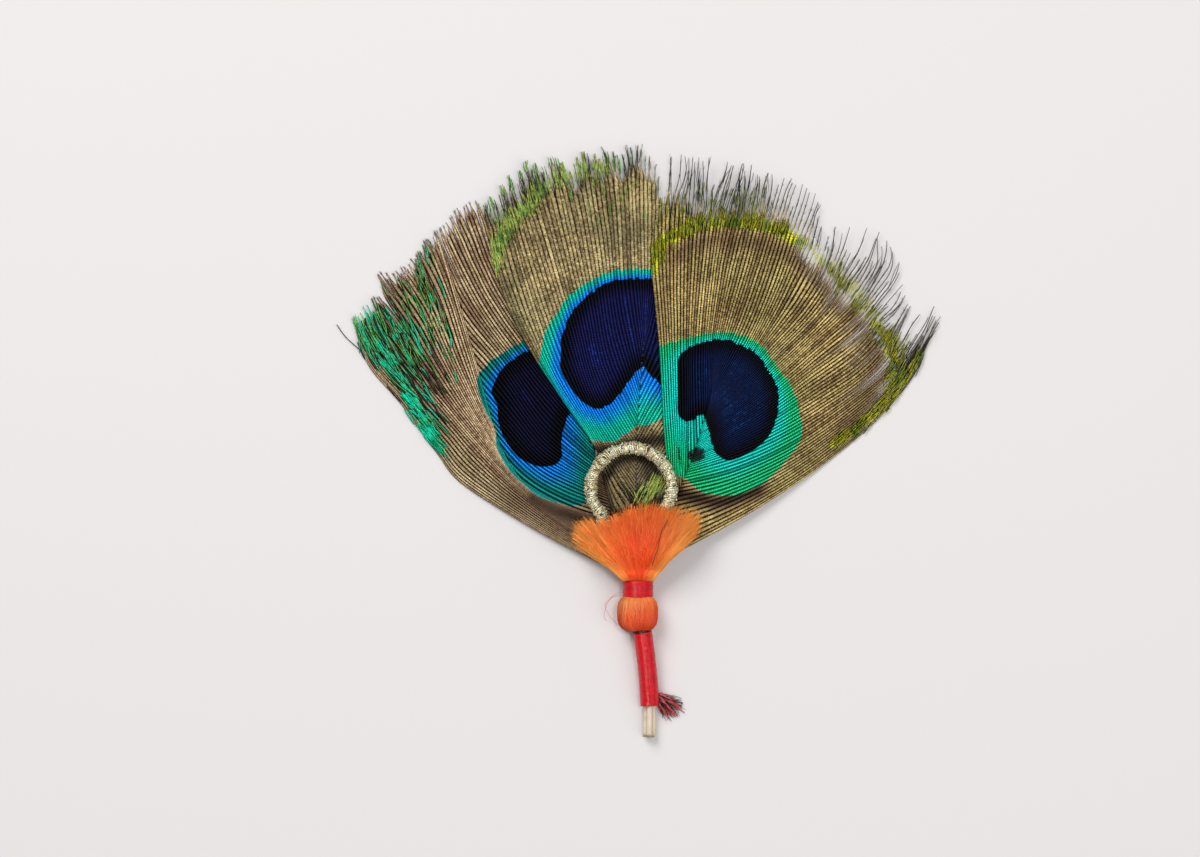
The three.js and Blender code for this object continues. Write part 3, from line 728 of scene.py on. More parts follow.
def barbules(feather, lay, rim, bare, room, web, tone, slip, rng, number):
    """Fine blades in a herringbone on both sides of each barb, sparse and loose past the edge of the web."""
    starts, aims, sizes, widths, rims, tones, slips = [], [], [], [], [], [], []
    share = np.linspace(0, 1, BARB_STEPS)
    heading = directions(lay)
    for k, path in enumerate(lay):
        span = np.linalg.norm(np.diff(path, axis=0), axis=1).sum()
        n = int(span / BARBULE_STEP)
        at = (np.arange(n) + 0.5) / n
        # past: how far beyond the web's edge. feathery: how loose the barbules are there
        place, tangent = read_along(path, share, at), read_along(heading[k], share, at)
        from_rim = np.interp(at, share, rim[k])
        width = np.interp(at, share, room[k])
        past = bare[k, 0] - from_rim
        lush = strength(place[:, :2], feather["lush"])
        rough = np.where(eye_rings(place[:, :2], feather) < 1, EYE_ROUGHNESS, feather["rough"])
        feathery = smooth(past / 0.8 + 0.5)
        loose = LOOSE_SHARE * np.exp(-np.maximum(past, 0) / FEATHERY)
        chance = np.where(past > 0, loose, np.interp(at, share, web[k]))
        for hand in (-1, 1):
            keep = (rng.random(n) < chance) & (from_rim > TIP_CLEAR)
            slant = BARBULE_ANGLE * (1 - 0.45 * feathery) * (1 - 0.25 * lush)
            angle = np.radians(slant * hand + rng.normal(0, 1, n) * (2 + 7 * rough + 5 * lush))
            aim = np.stack([
                tangent[:, 0] * np.cos(angle) - tangent[:, 1] * np.sin(angle),
                tangent[:, 0] * np.sin(angle) + tangent[:, 1] * np.cos(angle),
                tangent[:, 2] - 0.1 + rng.normal(0, 0.03 + 0.05 * rough, n),
            ], axis=1)
            reach = width * (0.36 + 0.16 * rough) / np.sin(np.radians(BARBULE_ANGLE))
            size = (reach + (LOOSE_LENGTH - reach) * feathery) * rng.uniform(0.85, 1.1 + 0.2 * rough, n)
            starts.append(place[keep])
            aims.append(aim[keep])
            sizes.append((size * (1 + 0.5 * lush * rng.random(n)))[keep])
            narrower = (BARBULE_HALF_WIDTH - LOOSE_HALF_WIDTH) * feathery
            widths.append((BARBULE_HALF_WIDTH - narrower)[keep])
            rims.append(from_rim[keep] / bare[k, 0])
            tones.append(np.clip(tone[k, 0] + rng.normal(0, 1, n) * (0.06 + 0.22 * rough), 0, 1)[keep])
            slips.append(np.full(keep.sum(), slip[k, 0, 0]))
    start, aim, size = np.concatenate(starts), np.concatenate(aims), np.concatenate(sizes)
    start[:, 2] += BARBULE_SEAT
    paths = np.stack([start, start + aim * size[:, None]], axis=1)
    both = np.ones((1, 2))
    width = np.concatenate(widths)[:, None] * both
    # edge: the barbules' tips take part of the painted shade of the lines between barbs
    return lay_rods(f"barbules_{number}", rod_shape(3, 2, radians(90), tip=0.0), paths, width, width * 0.4,
                    markings_of(feather), np.concatenate(slips)[:, None, None],
                    rim=np.concatenate(rims)[:, None] * both, tone=np.concatenate(tones)[:, None] * both,
                    edge=np.tile([0.0, 0.72], (len(start), 1)))


def strands(feather, lay, rim, rng):
    """Loose bright barbules clinging to the barbs, each a little curved, and loose hairs of the fringe."""
    near, far = lay[:, ::2].reshape(-1, 3), rim[:, ::2].ravel()
    heading = directions(lay)[:, ::2].reshape(-1, 3)
    share = np.linspace(-0.5, 0.5, STRAND_STEPS)
    runs, tones, greens, widths = [], [], [], []
    for line, spread, count, shortest, longest, hue, lean, girth in feather["strands"]:
        spot = even(line, 300)[rng.integers(300, size=count)] + rng.normal(0, spread, (count, 2))
        close = np.linalg.norm(spot[:, None] - near[None, :, :2], axis=-1).argmin(1)
        size = rng.uniform(shortest, longest, (count, 1))
        # the rest would reach too far past the tip of their barb
        held = far[close] > size[:, 0] * 0.42
        close, size, count = close[held], size[held], held.sum()
        turn = np.arctan2(heading[close, 1], heading[close, 0])
        turn = turn + lean * (pi / 2 - turn) + rng.normal(0, 0.09, count)
        along = np.stack([np.cos(turn), np.sin(turn)], 1)
        aside = np.stack([-along[:, 1], along[:, 0]], 1)
        sway = rng.normal(0, 0.02, (count, 1)) * size * np.cos(share * pi * rng.uniform(1, 2, (count, 1)))
        sway += rng.normal(0, 0.2, (count, 1))
        flat = near[close, None, :2] + along[:, None] * (size * share)[..., None]
        flat = flat + aside[:, None] * sway[..., None]
        lift = STRAND_LIFT + rng.uniform(0, 0.22, (count, 1))
        lift = lift + 0.06 * np.sin(share * 9 + rng.uniform(0, 6, (count, 1)))
        height = near[close, 2][:, None] + (lift - 0.12 * np.abs(share) * 2)
        runs.append(np.concatenate([flat, height[..., None]], -1))
        tones.append(np.clip(abs(hue) + rng.normal(0, 0.28, count), 0, 1))
        greens.append(np.full(count, float(hue >= 0)))
        widths.append(girth * rng.uniform(0.35, 0.65, (count, 1)) * (1 - (2 * share) ** 4 * 0.6))
    paths, width = np.concatenate(runs), np.concatenate(widths)
    green, tone = np.concatenate(greens)[:, None], np.concatenate(tones)[:, None]
    return lay_rods("strands", rod_shape(3, STRAND_STEPS), paths, width, width * 0.6,
                    **plain_facts(width.shape, lush=green, rim=20 * green, tone=tone))


# ---- shafts ----
def bundle_middle(y):
    """The middle of the tied quills at this distance along them."""
    line = spline(BUNDLE, np.linspace(0, len(BUNDLE) - 1, 80))
    order = np.argsort(line[:, 1])
    x = np.interp(y, line[order, 1], line[order, 0])
    droop = smooth((STEM_TOP - y) / (STEM_TOP - STEM_END))
    return np.stack([x, y, BUNDLE_HEIGHT + (STEM_REST - BUNDLE_HEIGHT) * droop], axis=-1)


def shaft(side, feather):
    """One shaft, from its cut quill end through the wraps to the tip of its rachis."""
    corner = radians(feather["corner"])
    tied = np.array([QUILL_END, -18, STEM_END, -12, -9, -6, -3, 0, 2.5])
    bundle = bundle_middle(tied) + QUILL_SPREAD * np.array([cos(corner), 0, sin(corner)])
    rachis = on_layer(side, np.array(feather["rachis"]), feather["sink"])
    path = even(np.concatenate([bundle, rachis]), SHAFT_STEPS)
    path[:, 2] = np.maximum(path[:, 2], SHAFT_LOWEST)
    along = np.linspace(0, 1, SHAFT_STEPS)
    radius = QUILL_RADIUS + (RACHIS_TIP_RADIUS - QUILL_RADIUS) * smooth((along - 0.33) / 0.5)
    return path[None], radius[None], along[None]


def hollow_out(piece, centre):
    """Opens the cut end of a quill: its end face is inset and pushed in."""
    bm = bmesh.new()
    bm.from_mesh(piece.data)
    ends = [face for face in bm.faces if (face.calc_center_median() - centre).length < QUILL_RADIUS * MM
            and face.normal.y < -0.9]
    bmesh.ops.inset_region(bm, faces=ends, thickness=QUILL_WALL * MM, use_even_offset=True)
    inner = {vert for face in ends for vert in face.verts}
    bmesh.ops.translate(bm, verts=list(inner), vec=(0, QUILL_HOLLOW * MM, 0))
    bm.to_mesh(piece.data)
    bm.free()


# ---- colours and materials ----
def paint(red, green, blue):
    """A screen colour, 0 to 255, as the shader's linear colour."""
    return tuple(c / 12.92 if c <= 0.04045 else ((c + 0.055) / 1.055) ** 2.4
                 for c in (red / 255, green / 255, blue / 255)) + (1.0,)


def add_node(tree, kind, inputs=(), **settings):
    """A node with its settings. inputs gives the value of, or the link to, each named or numbered input."""
    node = tree.nodes.new(kind)
    for name, value in settings.items():
        setattr(node, name, value)
    for name, value in dict(inputs).items():
        if isinstance(value, bpy.types.NodeSocket):
            tree.links.new(value, node.inputs[name])
        else:
            node.inputs[name].default_value = value
    return node


def maths(tree, operation, a, b, c=0.0):
    return add_node(tree, "ShaderNodeMath", {0: a, 1: b, 2: c}, operation=operation).outputs[0]


def times(tree, a, b):
    return maths(tree, "MULTIPLY", a, b)


def minus(tree, a, b):
    return maths(tree, "SUBTRACT", a, b)


def plus_share(tree, value, share, rest):
    """rest with this share of value added."""
    return maths(tree, "MULTIPLY_ADD", value, share, rest)


def step_of(tree, value, low, high):
    """0 below low, 1 above high and eased between. low may be the higher of the two."""
    node = add_node(tree, "ShaderNodeMapRange", {"Value": value, "From Min": low, "From Max": high})
    node.interpolation_type = "SMOOTHSTEP"
    return node.outputs["Result"]


def blend_of(tree, share, a, b, blend_type="MIX"):
    """From colour a at share 0 to colour b, or to their product, at share 1."""
    node = add_node(tree, "ShaderNodeMix", {0: share, 6: a, 7: b}, data_type="RGBA", blend_type=blend_type)
    return node.outputs[2]


def fact_of(tree, name):
    return add_node(tree, "ShaderNodeAttribute", attribute_name=name).outputs["Fac"]


def noise_of(tree, scale, detail=2.0):
    place = add_node(tree, "ShaderNodeTexCoord").outputs["Object"]
    noise = add_node(tree, "ShaderNodeTexNoise", {"Vector": place, "Scale": scale, "Detail": detail})
    return noise.outputs["Fac"]


def add_relief(tree, shader, height, strength, depth):
    """Bumps the surface by this height, to this depth in millimetres."""
    bump = add_node(tree, "ShaderNodeBump", {"Height": height, "Strength": strength, "Distance": depth * MM})
    tree.links.new(bump.outputs["Normal"], shader.inputs["Normal"])


def effect_group(name, colours, numbers, outputs):
    """An empty node group with these inputs and outputs."""
    tree = bpy.data.node_groups.new(name, "ShaderNodeTree")
    for socket in colours:
        tree.interface.new_socket(socket, in_out="INPUT", socket_type="NodeSocketColor")
    for socket in numbers:
        tree.interface.new_socket(socket, in_out="INPUT", socket_type="NodeSocketFloat")
    for socket, kind in outputs:
        tree.interface.new_socket(socket, in_out="OUTPUT", socket_type="NodeSocket" + kind)
    return tree, tree.nodes.new("NodeGroupInput").outputs, tree.nodes.new("NodeGroupOutput").inputs


# what darkens a vane's colours, by multiplying them
NIGHT = paint(98, 88, 84)          # the middle of its darker areas
LEAF_PITS = paint(116, 136, 124)   # fine pits in the green
LEAF_SHADE = paint(158, 186, 172)  # broad shade in the green
LINE_SHADE = paint(54, 48, 48)      # painted shade in the gaps between barbs
# painted shade on barbs of low tone in the bronze
SHADED_BARB = paint(118, 104, 96)
SHADED_RING_BARB = paint(110, 120, 120)   # painted shade on barbs of low tone in the bright ring
SCAR = paint(22, 42, 38)           # worn spots, which cover what is under them
LOW_TONES = (0.26, 0.08)           # barbs from the first tone down to the second get painted shade


def barb_colour_group():
    """The markings of an eye feather, from what each point keeps about its place on the vane."""
    colours = ["Bronze dark", "Bronze light", "Ring outside", "Ring inside", "Heart edge", "Heart middle",
               "Heart glint", "Lush dark", "Lush light", "Dusk", "Tip", "Moss"]
    outputs = [("Colour", "Color"), ("Metal", "Float"), ("Roughness", "Float"), ("Height", "Float")]
    tree, given, result = effect_group("barb_colour", colours, ["Line share"], outputs)
    fact, noise, step, blend = (partial(tool, tree) for tool in (fact_of, noise_of, step_of, blend_of))
    plus, less, product = (partial(tool, tree) for tool in (plus_share, minus, times))
    eye, rim, tone, edge, lush, dusk = map(fact, ("eye", "rim", "tone", "edge", "lush", "dusk"))
    fine, broad, grit = noise(1700.0), noise(230.0, 4.0), noise(4800.0)
    mixed = plus(tone, 0.24, plus(grit, 0.75, plus(fine, 0.65, plus(broad, 0.7, -0.7))))
    in_ring, in_heart = step(eye, 1.02, 0.985), step(eye, 0.02, -0.01)
    outside = less(1.0, in_ring)

    # the bronze ground with mossy patches
    colour = blend(step(mixed, 0.18, 0.88), given["Bronze dark"], given["Bronze light"])
    patch = step(plus(tone, 0.16, noise(75.0, 5.0)), 0.46, 0.72)
    colour = blend(product(patch, 0.36), colour, given["Moss"])

    # darker areas, stronger in their middle
    ragged = plus(less(mixed, 0.5), 0.35, dusk)
    shade = product(outside, step(ragged, 0.05, 0.75))
    colour = blend(product(shade, 0.8), colour, given["Dusk"])
    colour = blend(product(outside, step(ragged, 0.52, 0.86)), colour, NIGHT, "MULTIPLY")

    # green markings
    green = product(step(plus(less(mixed, 0.55), 0.5, lush), 0.22, 0.62), outside)
    hue = plus(fine, 0.5, less(tone, 0.25))
    leaf = blend(step(hue, 0.15, 0.85), given["Lush dark"], given["Lush light"])
    leaf = blend(step(grit, 0.45, 0.34), leaf, LEAF_PITS, "MULTIPLY")
    leaf = blend(step(broad, 0.52, 0.34), leaf, LEAF_SHADE, "MULTIPLY")
    colour = blend(green, colour, leaf)

    # bare tips
    bare_tip = product(step(rim, 1.1, 0.55), less(1.0, green))
    colour = blend(product(bare_tip, 0.85), colour, given["Tip"])

    # the eye's ring and heart, and worn spots in both
    ring = blend(step(eye, 0.06, 0.74), given["Ring inside"], given["Ring outside"])
    colour = blend(in_ring, colour, ring)
    heart = blend(step(eye, -0.12, -0.55), given["Heart edge"], given["Heart middle"])
    glint = product(step(eye, -0.35, -0.9), step(mixed, 0.5, 1.1))
    colour = blend(in_heart, colour, blend(glint, heart, given["Heart glint"]))
    colour = blend(step(plus(mixed, 0.3, dusk), 0.98, 1.1), colour, SCAR)

    # light and dark grains, and the tone of each barb
    bright = plus(fine, 0.6, plus(tone, 0.14, 0.64))
    grey = add_node(tree, "ShaderNodeCombineColor", {0: bright, 1: bright, 2: bright}).outputs[0]
    colour = blend(1.0, colour, grey, "MULTIPLY")

    # painted shade: dark lines on the barbs' edges for the shaded gaps between barbs, fainter in the ring, in
    # the heart and in the green
    drawn = step(plus(tone, 0.8, broad), 0.6, 1.05)
    drawn = plus(drawn, 0.4, plus(in_ring, -0.34, 0.6))
    drawn = plus(green, -0.42, plus(in_heart, -0.55, drawn))
    deep = product(product(step(edge, 0.4, 0.82), drawn), given["Line share"])
    colour = blend(deep, colour, LINE_SHADE, "MULTIPLY")

    # painted shade on barbs of low tone, as if they lay deeper, in the bronze and more strongly in the ring
    low = step(tone, *LOW_TONES)
    barb_shade = product(product(less(outside, green), low), product(given["Line share"], 0.12))
    colour = blend(barb_shade, colour, SHADED_BARB, "MULTIPLY")
    ring_only = less(in_ring, in_heart)
    colour = blend(product(product(ring_only, low), 0.6), colour, SHADED_RING_BARB, "MULTIPLY")

    lit = maths(tree, "MAXIMUM", ring_only, product(green, 0.6))
    for name, value in (
        ("Colour", colour),
        ("Metal", plus(in_heart, 0.6, product(lit, 0.35))),
        ("Roughness", plus(lit, -0.1, 0.5)),
        ("Height", maths(tree, "ADD", fine, tone)),
    ):
        tree.links.new(value, result[name])
    return tree


def new_material(name):
    material = bpy.data.materials.new(name)
    material.use_nodes = True
    tree = material.node_tree
    return material, tree, tree.nodes["Principled BSDF"]


def vane_material(name, group, colours, line_share):
    material, tree, shader = new_material(name)
    markings = add_node(tree, "ShaderNodeGroup", node_tree=group)
    for socket, colour in colours.items():
        markings.inputs[socket].default_value = colour
    markings.inputs["Line share"].default_value = line_share
    for output, socket in (("Colour", "Base Color"), ("Metal", "Metallic"), ("Roughness", "Roughness")):
        tree.links.new(markings.outputs[output], shader.inputs[socket])
    add_relief(tree, shader, markings.outputs["Height"], 0.35, 0.08)
    shader.inputs["Specular IOR Level"].default_value = 0.25
    return material


def strand_colour_group():
    """Fine strands: each has its own tone, and a stain varies over the piece."""
    tree, given, result = effect_group("strand_colour", ["Dark", "Light", "Accent"],
                                       ["Grain", "Accent share"], [("Colour", "Color"), ("Height", "Float")])
    tone, stain, grain = fact_of(tree, "tone"), noise_of(tree, 420.0), noise_of(tree, given["Grain"], 3.0)
    mixed = plus_share(tree, tone, 0.7, plus_share(tree, stain, 0.6, -0.25))
    mixed = plus_share(tree, grain, 0.3, mixed)
    colour = blend_of(tree, step_of(tree, mixed, 0.1, 1.0), given["Dark"], given["Light"])
    accent = times(tree, fact_of(tree, "accent"), given["Accent share"])
    tree.links.new(blend_of(tree, accent, colour, given["Accent"]), result["Colour"])
    tree.links.new(maths(tree, "ADD", grain, tone), result["Height"])
    return tree


def strand_material(name, group, dark, light, accent, roughness, metal=0.0, grain=2500.0, share=1.0,
                    shine=0.5):
    """A finish of strands from dark to light, stained by this share with the accent colour."""
    material, tree, shader = new_material(name)
    strand = add_node(tree, "ShaderNodeGroup", node_tree=group)
    for socket, value in (("Dark", dark), ("Light", light), ("Accent", accent), ("Grain", grain),
                          ("Accent share", share)):
        strand.inputs[socket].default_value = value
    tree.links.new(strand.outputs["Colour"], shader.inputs["Base Color"])
    add_relief(tree, shader, strand.outputs["Height"], 0.3, 0.06)
    shader.inputs["Roughness"].default_value = roughness
    shader.inputs["Metallic"].default_value = metal
    shader.inputs["Specular IOR Level"].default_value = shine
    return material


# ---- what dresses the fan ----
def cord_radius(y):
    """The cord is thin in the tie and swells to its full size above it."""
    return CORD_FOOT_RADIUS + (CORD_RADIUS - CORD_FOOT_RADIUS) * smooth((y - 6.5) / 6)


def loop_path(count):
    """The cord leaves the tie, runs once round a ring on the vanes, and goes back to the tie."""
    turns = np.radians(np.arange(225, -46, -30))
    ring = LOOP_CENTRE + LOOP_RADIUS * np.stack([np.cos(turns), np.sin(turns)], 1)
    flat = np.concatenate([LOOP_FEET[0], ring, LOOP_FEET[1]])
    height = layer_height("right", flat) + CORD_ABOVE_VANES + cord_radius(flat[:, 1])
    path = even(np.column_stack([flat, height]), count)
    return path, cord_radius(path[:, 1])


def round_about(path, radius, turn, reach=1.0):
    """Points on the wall round a path at these turns."""
    tangent = directions(path)
    left = np.cross(UP, tangent)
    left /= np.linalg.norm(left, axis=-1, keepdims=True)
    rise = np.cross(tangent, left)
    return path + (left * np.cos(turn)[:, None] + rise * np.sin(turn)[:, None]) * (radius * reach)[:, None]


def gold_cord_loop(material, rng):
    """Coiled metal thread over a core painted dark as the shade between the coils, with bright crumpled
    flakes: the lightest near white as painted glints, and one in seven dark as painted shade in the pits.
    """
    path, radius = loop_path(CORD_STEPS)
    girth = radius[None] * 0.74
    # the core is in the dark accent colour, painted shade seen between the coils
    parts = [(lay_rods("cord_core", rod_shape(12, CORD_STEPS), path[None], girth, girth,
                       tone=girth * 0, accent=girth * 0 + 1), 0)]
    long_path, long_radius = loop_path(WIRE_STEPS)
    share = np.linspace(0, 1, WIRE_STEPS)
    lumps = 1 + 0.05 * np.sin(share * 170) + 0.05 * np.sin(share * 61 + 1)
    for strand in range(2):
        turn = share * 2 * pi * CORD_TURNS + strand * pi + 0.7 * np.sin(share * 140)
        coil = round_about(long_path, long_radius * 0.8, turn, lumps)[None]
        tone = 0.55 + 0.35 * np.sin(share * 320 + strand) + rng.normal(0, 0.15, WIRE_STEPS)
        tone = np.clip(tone, 0, 1)[None]
        wire = np.full((1, WIRE_STEPS), WIRE_HALF_WIDTH)
        parts.append((lay_rods(f"coil_{strand}", rod_shape(4, WIRE_STEPS), coil, wire, wire,
                               tone=tone, accent=tone * 0), 0))
    at = rng.random(CORD_FLAKES)
    centre, along = read_along(long_path, share, at), read_along(directions(long_path), share, at)
    girth = np.interp(at, share, long_radius * lumps)
    turn = rng.uniform(0, 2 * pi, CORD_FLAKES)
    left = np.cross(UP, along)
    rise = np.cross(along, left)
    outward = left * np.cos(turn)[:, None] + rise * np.sin(turn)[:, None]
    each, both = (CORD_FLAKES, 1), np.ones((1, 2))
    aim = along * rng.normal(0.2, 0.45, each)
    aim += np.cross(outward, along) * rng.choice([-1, 1], each)
    aim += rng.normal(0, 0.3, (CORD_FLAKES, 3))
    aim /= np.linalg.norm(aim, axis=1, keepdims=True)
    seat = centre + outward * (girth * rng.uniform(0.82, 1.04, CORD_FLAKES))[:, None]
    size = rng.uniform(0.12, 0.34, each)
    paths = np.stack([seat - aim * size, seat + aim * size], axis=1)
    widths = rng.uniform(0.05, 0.15, each) * both
    # the lightest flakes are near white, painted glints; one in seven is dark, painted shade in the pits
    tone = rng.random(each) ** 0.8 * both
    dim = (rng.random(each) < 0.14) * both
    flakes = lay_rods("flakes", rod_shape(4, 2), paths, widths, widths * 0.35, tone=tone, accent=dim)
    return joined("loop_of_gold_cord", [*parts, (flakes, 0)], [material])


# where the silk's fibres end, from its left side to its right
SILK_TIPS = [(-11.1, 12.3), (-10, 15.6), (-6.5, 15.4), (-3.8, 16.5), (0.1, 18.1), (3.4, 18.2), (6.3, 17.7),
             (10.3, 16.6), (9.6, 13.2)]
SILK_STEPS = 400             # places along that line
SILK_ROOTS = (-2.3, 2.5)     # the fibres start between these, beside one another
SILK_ROOT_Y = 5.5
SILK_ROOT_HEIGHT = 4.6
SILK_HAIR = [(2.4, 8, 6.6), (2.9, 9.6, 6.9), (3.4, 11.2, 7), (3.8, 13.2, 6.9), (4.2, 14.2, 6.8),
             (4.9, 15.4, 6.6)]


def silk_fibres(rng, count, rows, wander, radius, low, high):
    """Combed fibres, whose middle rises by low to high: their paths, widths and facts."""
    last = SILK_STEPS - 1
    at = np.sort(rng.uniform(0, 1, count)) * last
    tip = spline(even(np.array(SILK_TIPS), SILK_STEPS), at) + rng.normal(0, wander, (count, 2))
    root = np.stack([SILK_ROOTS[0] + (SILK_ROOTS[1] - SILK_ROOTS[0]) * at / last,
                     np.full(count, SILK_ROOT_Y)], 1)
    share = np.linspace(0, 1, rows)[None, :, None]
    reach = 1 - np.abs(rng.normal(0, 0.07, (count, 1, 1))) - (rng.random((count, 1, 1)) < 0.3) * 0.15
    spread = (share * reach) ** 1.15
    flat = root[:, None] + (tip - root)[:, None] * np.concatenate([spread, share * reach], axis=-1)
    flat[..., 0] += rng.normal(0, 0.16, (count, 1)) * np.sin(share[..., 0] * pi * 2.2)
    rise = smooth((flat[..., 1] - SILK_ROOT_Y) / 5.0)
    crown = rng.uniform(low, high, (count, 1))
    fall = smooth((share[..., 0] * reach[..., 0] - 0.6) / 0.4)
    height = SILK_ROOT_HEIGHT + rise * (1.15 + crown) - fall * (0.1 + 0.85 * crown)
    widths = radius * (1 - 0.75 * share[..., 0] ** 3) * np.ones((count, 1))
    # painted light: fibres paler towards the sides, more so on the right where the lamps leave them darker,
    # and towards their tips
    aside = np.abs(at / last - 0.5)[:, None] * 2
    pale = aside ** 2 * np.where(at > SILK_STEPS / 2, 1.2, 0.85)[:, None]
    pale = pale + share[..., 0] ** 3 * 0.55 + rng.normal(0, 0.12, (count, 1))
    facts = {"accent": np.clip(pale, 0, 1), "tone": rng.random((count, 1)) * np.ones((1, rows))}
    return np.concatenate([flat, height[..., None]], -1), widths, facts


def silk_tuft(material, hair, rng):
    """A fan of combed silk over the foot of the loop: broad locks under fine fibres, and one dark hair."""
    locks, lock_width, lock_facts = silk_fibres(rng, 110, 10, 0.25, 0.34, 0.0, 0.4)
    fine, fine_width, fine_facts = silk_fibres(rng, 2300, 9, 0.45, 0.055, 0.2, 0.95)
    return joined("tuft_of_silk", [
        (lay_rods("locks", rod_shape(6, 10), locks, lock_width, lock_width * 0.6, **lock_facts), 0),
        (lay_rods("fibres", rod_shape(3, 9), fine, fine_width, fine_width, **fine_facts), 0),
        (stray_hairs([SILK_HAIR], 0.07, 0.0, 1.0), 1),
    ], [material, hair])


# ---- the tie ----
def wound(name, path, half_width, half_height, thread, rng, per_turn=26, dark_turns=0):
    """Thread of this half width wound in close turns round a path, as one long rod."""
    length = np.linalg.norm(np.diff(path, axis=0), axis=1).sum()
    turns = int(length / BINDING_PITCH)
    count = turns * per_turn
    rail = even(path, count)
    turn = np.linspace(0, 2 * pi * turns, count)
    tangent = directions(rail)
    left = np.cross(UP, tangent)
    rise = np.cross(tangent, left)
    snug = 1 + 0.012 * np.sin(turn * 0.37 + 1) + 0.008 * np.sin(turn * 0.83)
    place = rail + left * (half_width * np.cos(turn) * snug)[:, None]
    place = place + rise * (half_height * np.sin(turn) * snug)[:, None]
    tone = 0.35 + 0.3 * np.repeat(rng.random(turns), per_turn)[None]
    size = np.full((1, count), thread)
    accent = np.repeat(np.arange(turns) < dark_turns, per_turn)[None]
    return lay_rods(name, rod_shape(6, count), place[None], size, size, tone=tone, accent=accent)


def stray_hairs(lines, width, tone, accent):
    """Single thin fibres along these lines of places."""
    paths = np.stack([even(line, 16) for line in lines])
    widths = np.full(paths.shape[:2], width)
    facts = {"tone": widths * 0 + tone, "accent": widths * 0 + accent}
    return lay_rods("hairs", rod_shape(3, 16), paths, widths, widths, **facts)


THREAD_INSET = 0.17          # from the outside of a wrap to the middle of its thread
STRAY_THREADS = [
    [(-2.4, 3, 3.2), (-4.2, 2.6, 3), (-5.4, 1.2, 2.4), (-4.6, -0.6, 1.6), (-3.2, -2.2, 1.2)],
    [(-2.4, 3.4, 3), (-3.6, 3.2, 3.6), (-4.8, 2, 3.4), (-5.6, -0.4, 2.2), (-5.2, -1.4, 1.4)],
]


def neck_band(material, rng):
    """The band of red thread round the neck, with two stray fibres."""
    y = np.linspace(BAND["low"], BAND["high"], 12)
    path = np.stack([np.full(12, BAND["middle"]), y, np.full(12, BUNDLE_HEIGHT)], 1)
    half_width, half_height = BAND["width"] / 2 - THREAD_INSET, BAND["height"] / 2 - THREAD_INSET
    wall = np.full((1, 12), 1.0)
    core = lay_rods("band_core", rod_shape(28, 12), path[None], wall * (half_width - 0.02),
                    wall * (half_height - 0.02), tone=wall * 0.2, accent=wall * 0)
    thread = wound("band_thread", path[[0, -1]], half_width, half_height, 0.13, rng, per_turn=44)
    hairs = stray_hairs(STRAY_THREADS, 0.035, 0.9, 0.0)
    return joined("band_of_thread", [(core, 0), (thread, 0), (hairs, 0)], [material])


def stem_wrap(material, rng):
    """Red thread wound round the quills, dark in its first two turns."""
    path = bundle_middle(np.linspace(STEM_TOP, STEM_END, 14))
    wall = np.full((1, 14), STEM_RADIUS - THREAD_INSET)
    core = lay_rods("stem_core", rod_shape(20, 14), path[None], wall, wall, tone=wall * 0.1, accent=wall * 0)
    thread = wound("stem_thread", path, STEM_RADIUS - 0.13, STEM_RADIUS - 0.13, 0.14, rng, dark_turns=2)
    return joined("wrap_of_thread", [(core, 0), (thread, 0)], [material])


def ball_surface(turn, climb, swell):
    """A point of the cushion-square ball. turn goes round the quills, climb from one pole to the other."""
    place = np.stack([np.cos(climb) * np.cos(turn), np.sin(climb), np.cos(climb) * np.sin(turn)], axis=-1)
    power = BALL["squareness"]
    place /= (np.abs(place) ** power).sum(-1, keepdims=True) ** (1 / power)
    place *= np.array([BALL["width"], BALL["length"], BALL["height"]]) / 2 * np.asarray(swell)[..., None]
    place += np.array([0.0, BALL["centre"], BUNDLE_HEIGHT])
    place[..., 2] = np.maximum(place[..., 2], BALL_LOWEST)
    return place


def thread_ball(material, rng):
    """Floss laid over the ball from one pole to the other."""
    count, rows = BALL_FLOSS
    climb = np.linspace(-1.5, 1.5, rows)[None] * np.ones((count, 1))
    turn = rng.uniform(0, 2 * pi, (count, 1)) + rng.normal(0, 0.1, (count, 1)) * climb
    turn = turn + 0.03 * np.sin(climb * 5 + rng.uniform(0, 6, (count, 1)))
    swell = rng.uniform(0.972, 0.995, (count, 1)) * np.ones((1, rows))
    paths = ball_surface(turn, climb, swell)
    widths = np.full((count, rows), FLOSS_HALF_WIDTH)
    streak = np.sin(turn[:, :1] * 23) * 0.5 + np.sin(turn[:, :1] * 41 + 2) * 0.3
    # painted highlight: paler towards the fan and the upper left, where the window lamp falls, in streaks
    lean = np.cos(turn - radians(125))
    accent = np.clip(np.sin(climb + 0.2) * 0.8 + 0.35 * lean + streak * 0.4 - 0.25, 0, 1)
    tone = np.clip(rng.random((count, 1)) * 0.5 + 0.25 + 0.3 * streak, 0, 1) * np.ones((1, rows))
    floss = lay_rods("floss", rod_shape(3, rows), paths, widths, widths * 0.7, tone=tone, accent=accent)
    bm = bmesh.new()
    bmesh.ops.create_uvsphere(bm, u_segments=40, v_segments=24, radius=1)
    for vert in bm.verts:
        climb_at = np.arcsin(np.clip(vert.co.z, -1, 1))
        vert.co = Vector(ball_surface(np.arctan2(vert.co.y, vert.co.x), climb_at, 0.955) * MM)
    bmesh.ops.recalc_face_normals(bm, faces=bm.faces)
    bmesh.ops.triangulate(bm, faces=bm.faces)
    core = object_from("ball_core", bm)
    for fact in ("tone", "accent", "edge"):
        store(core, fact, np.full(len(core.data.vertices), 0.2))
    return joined("ball_of_floss", [(floss, 0), (core, 0)], [material])


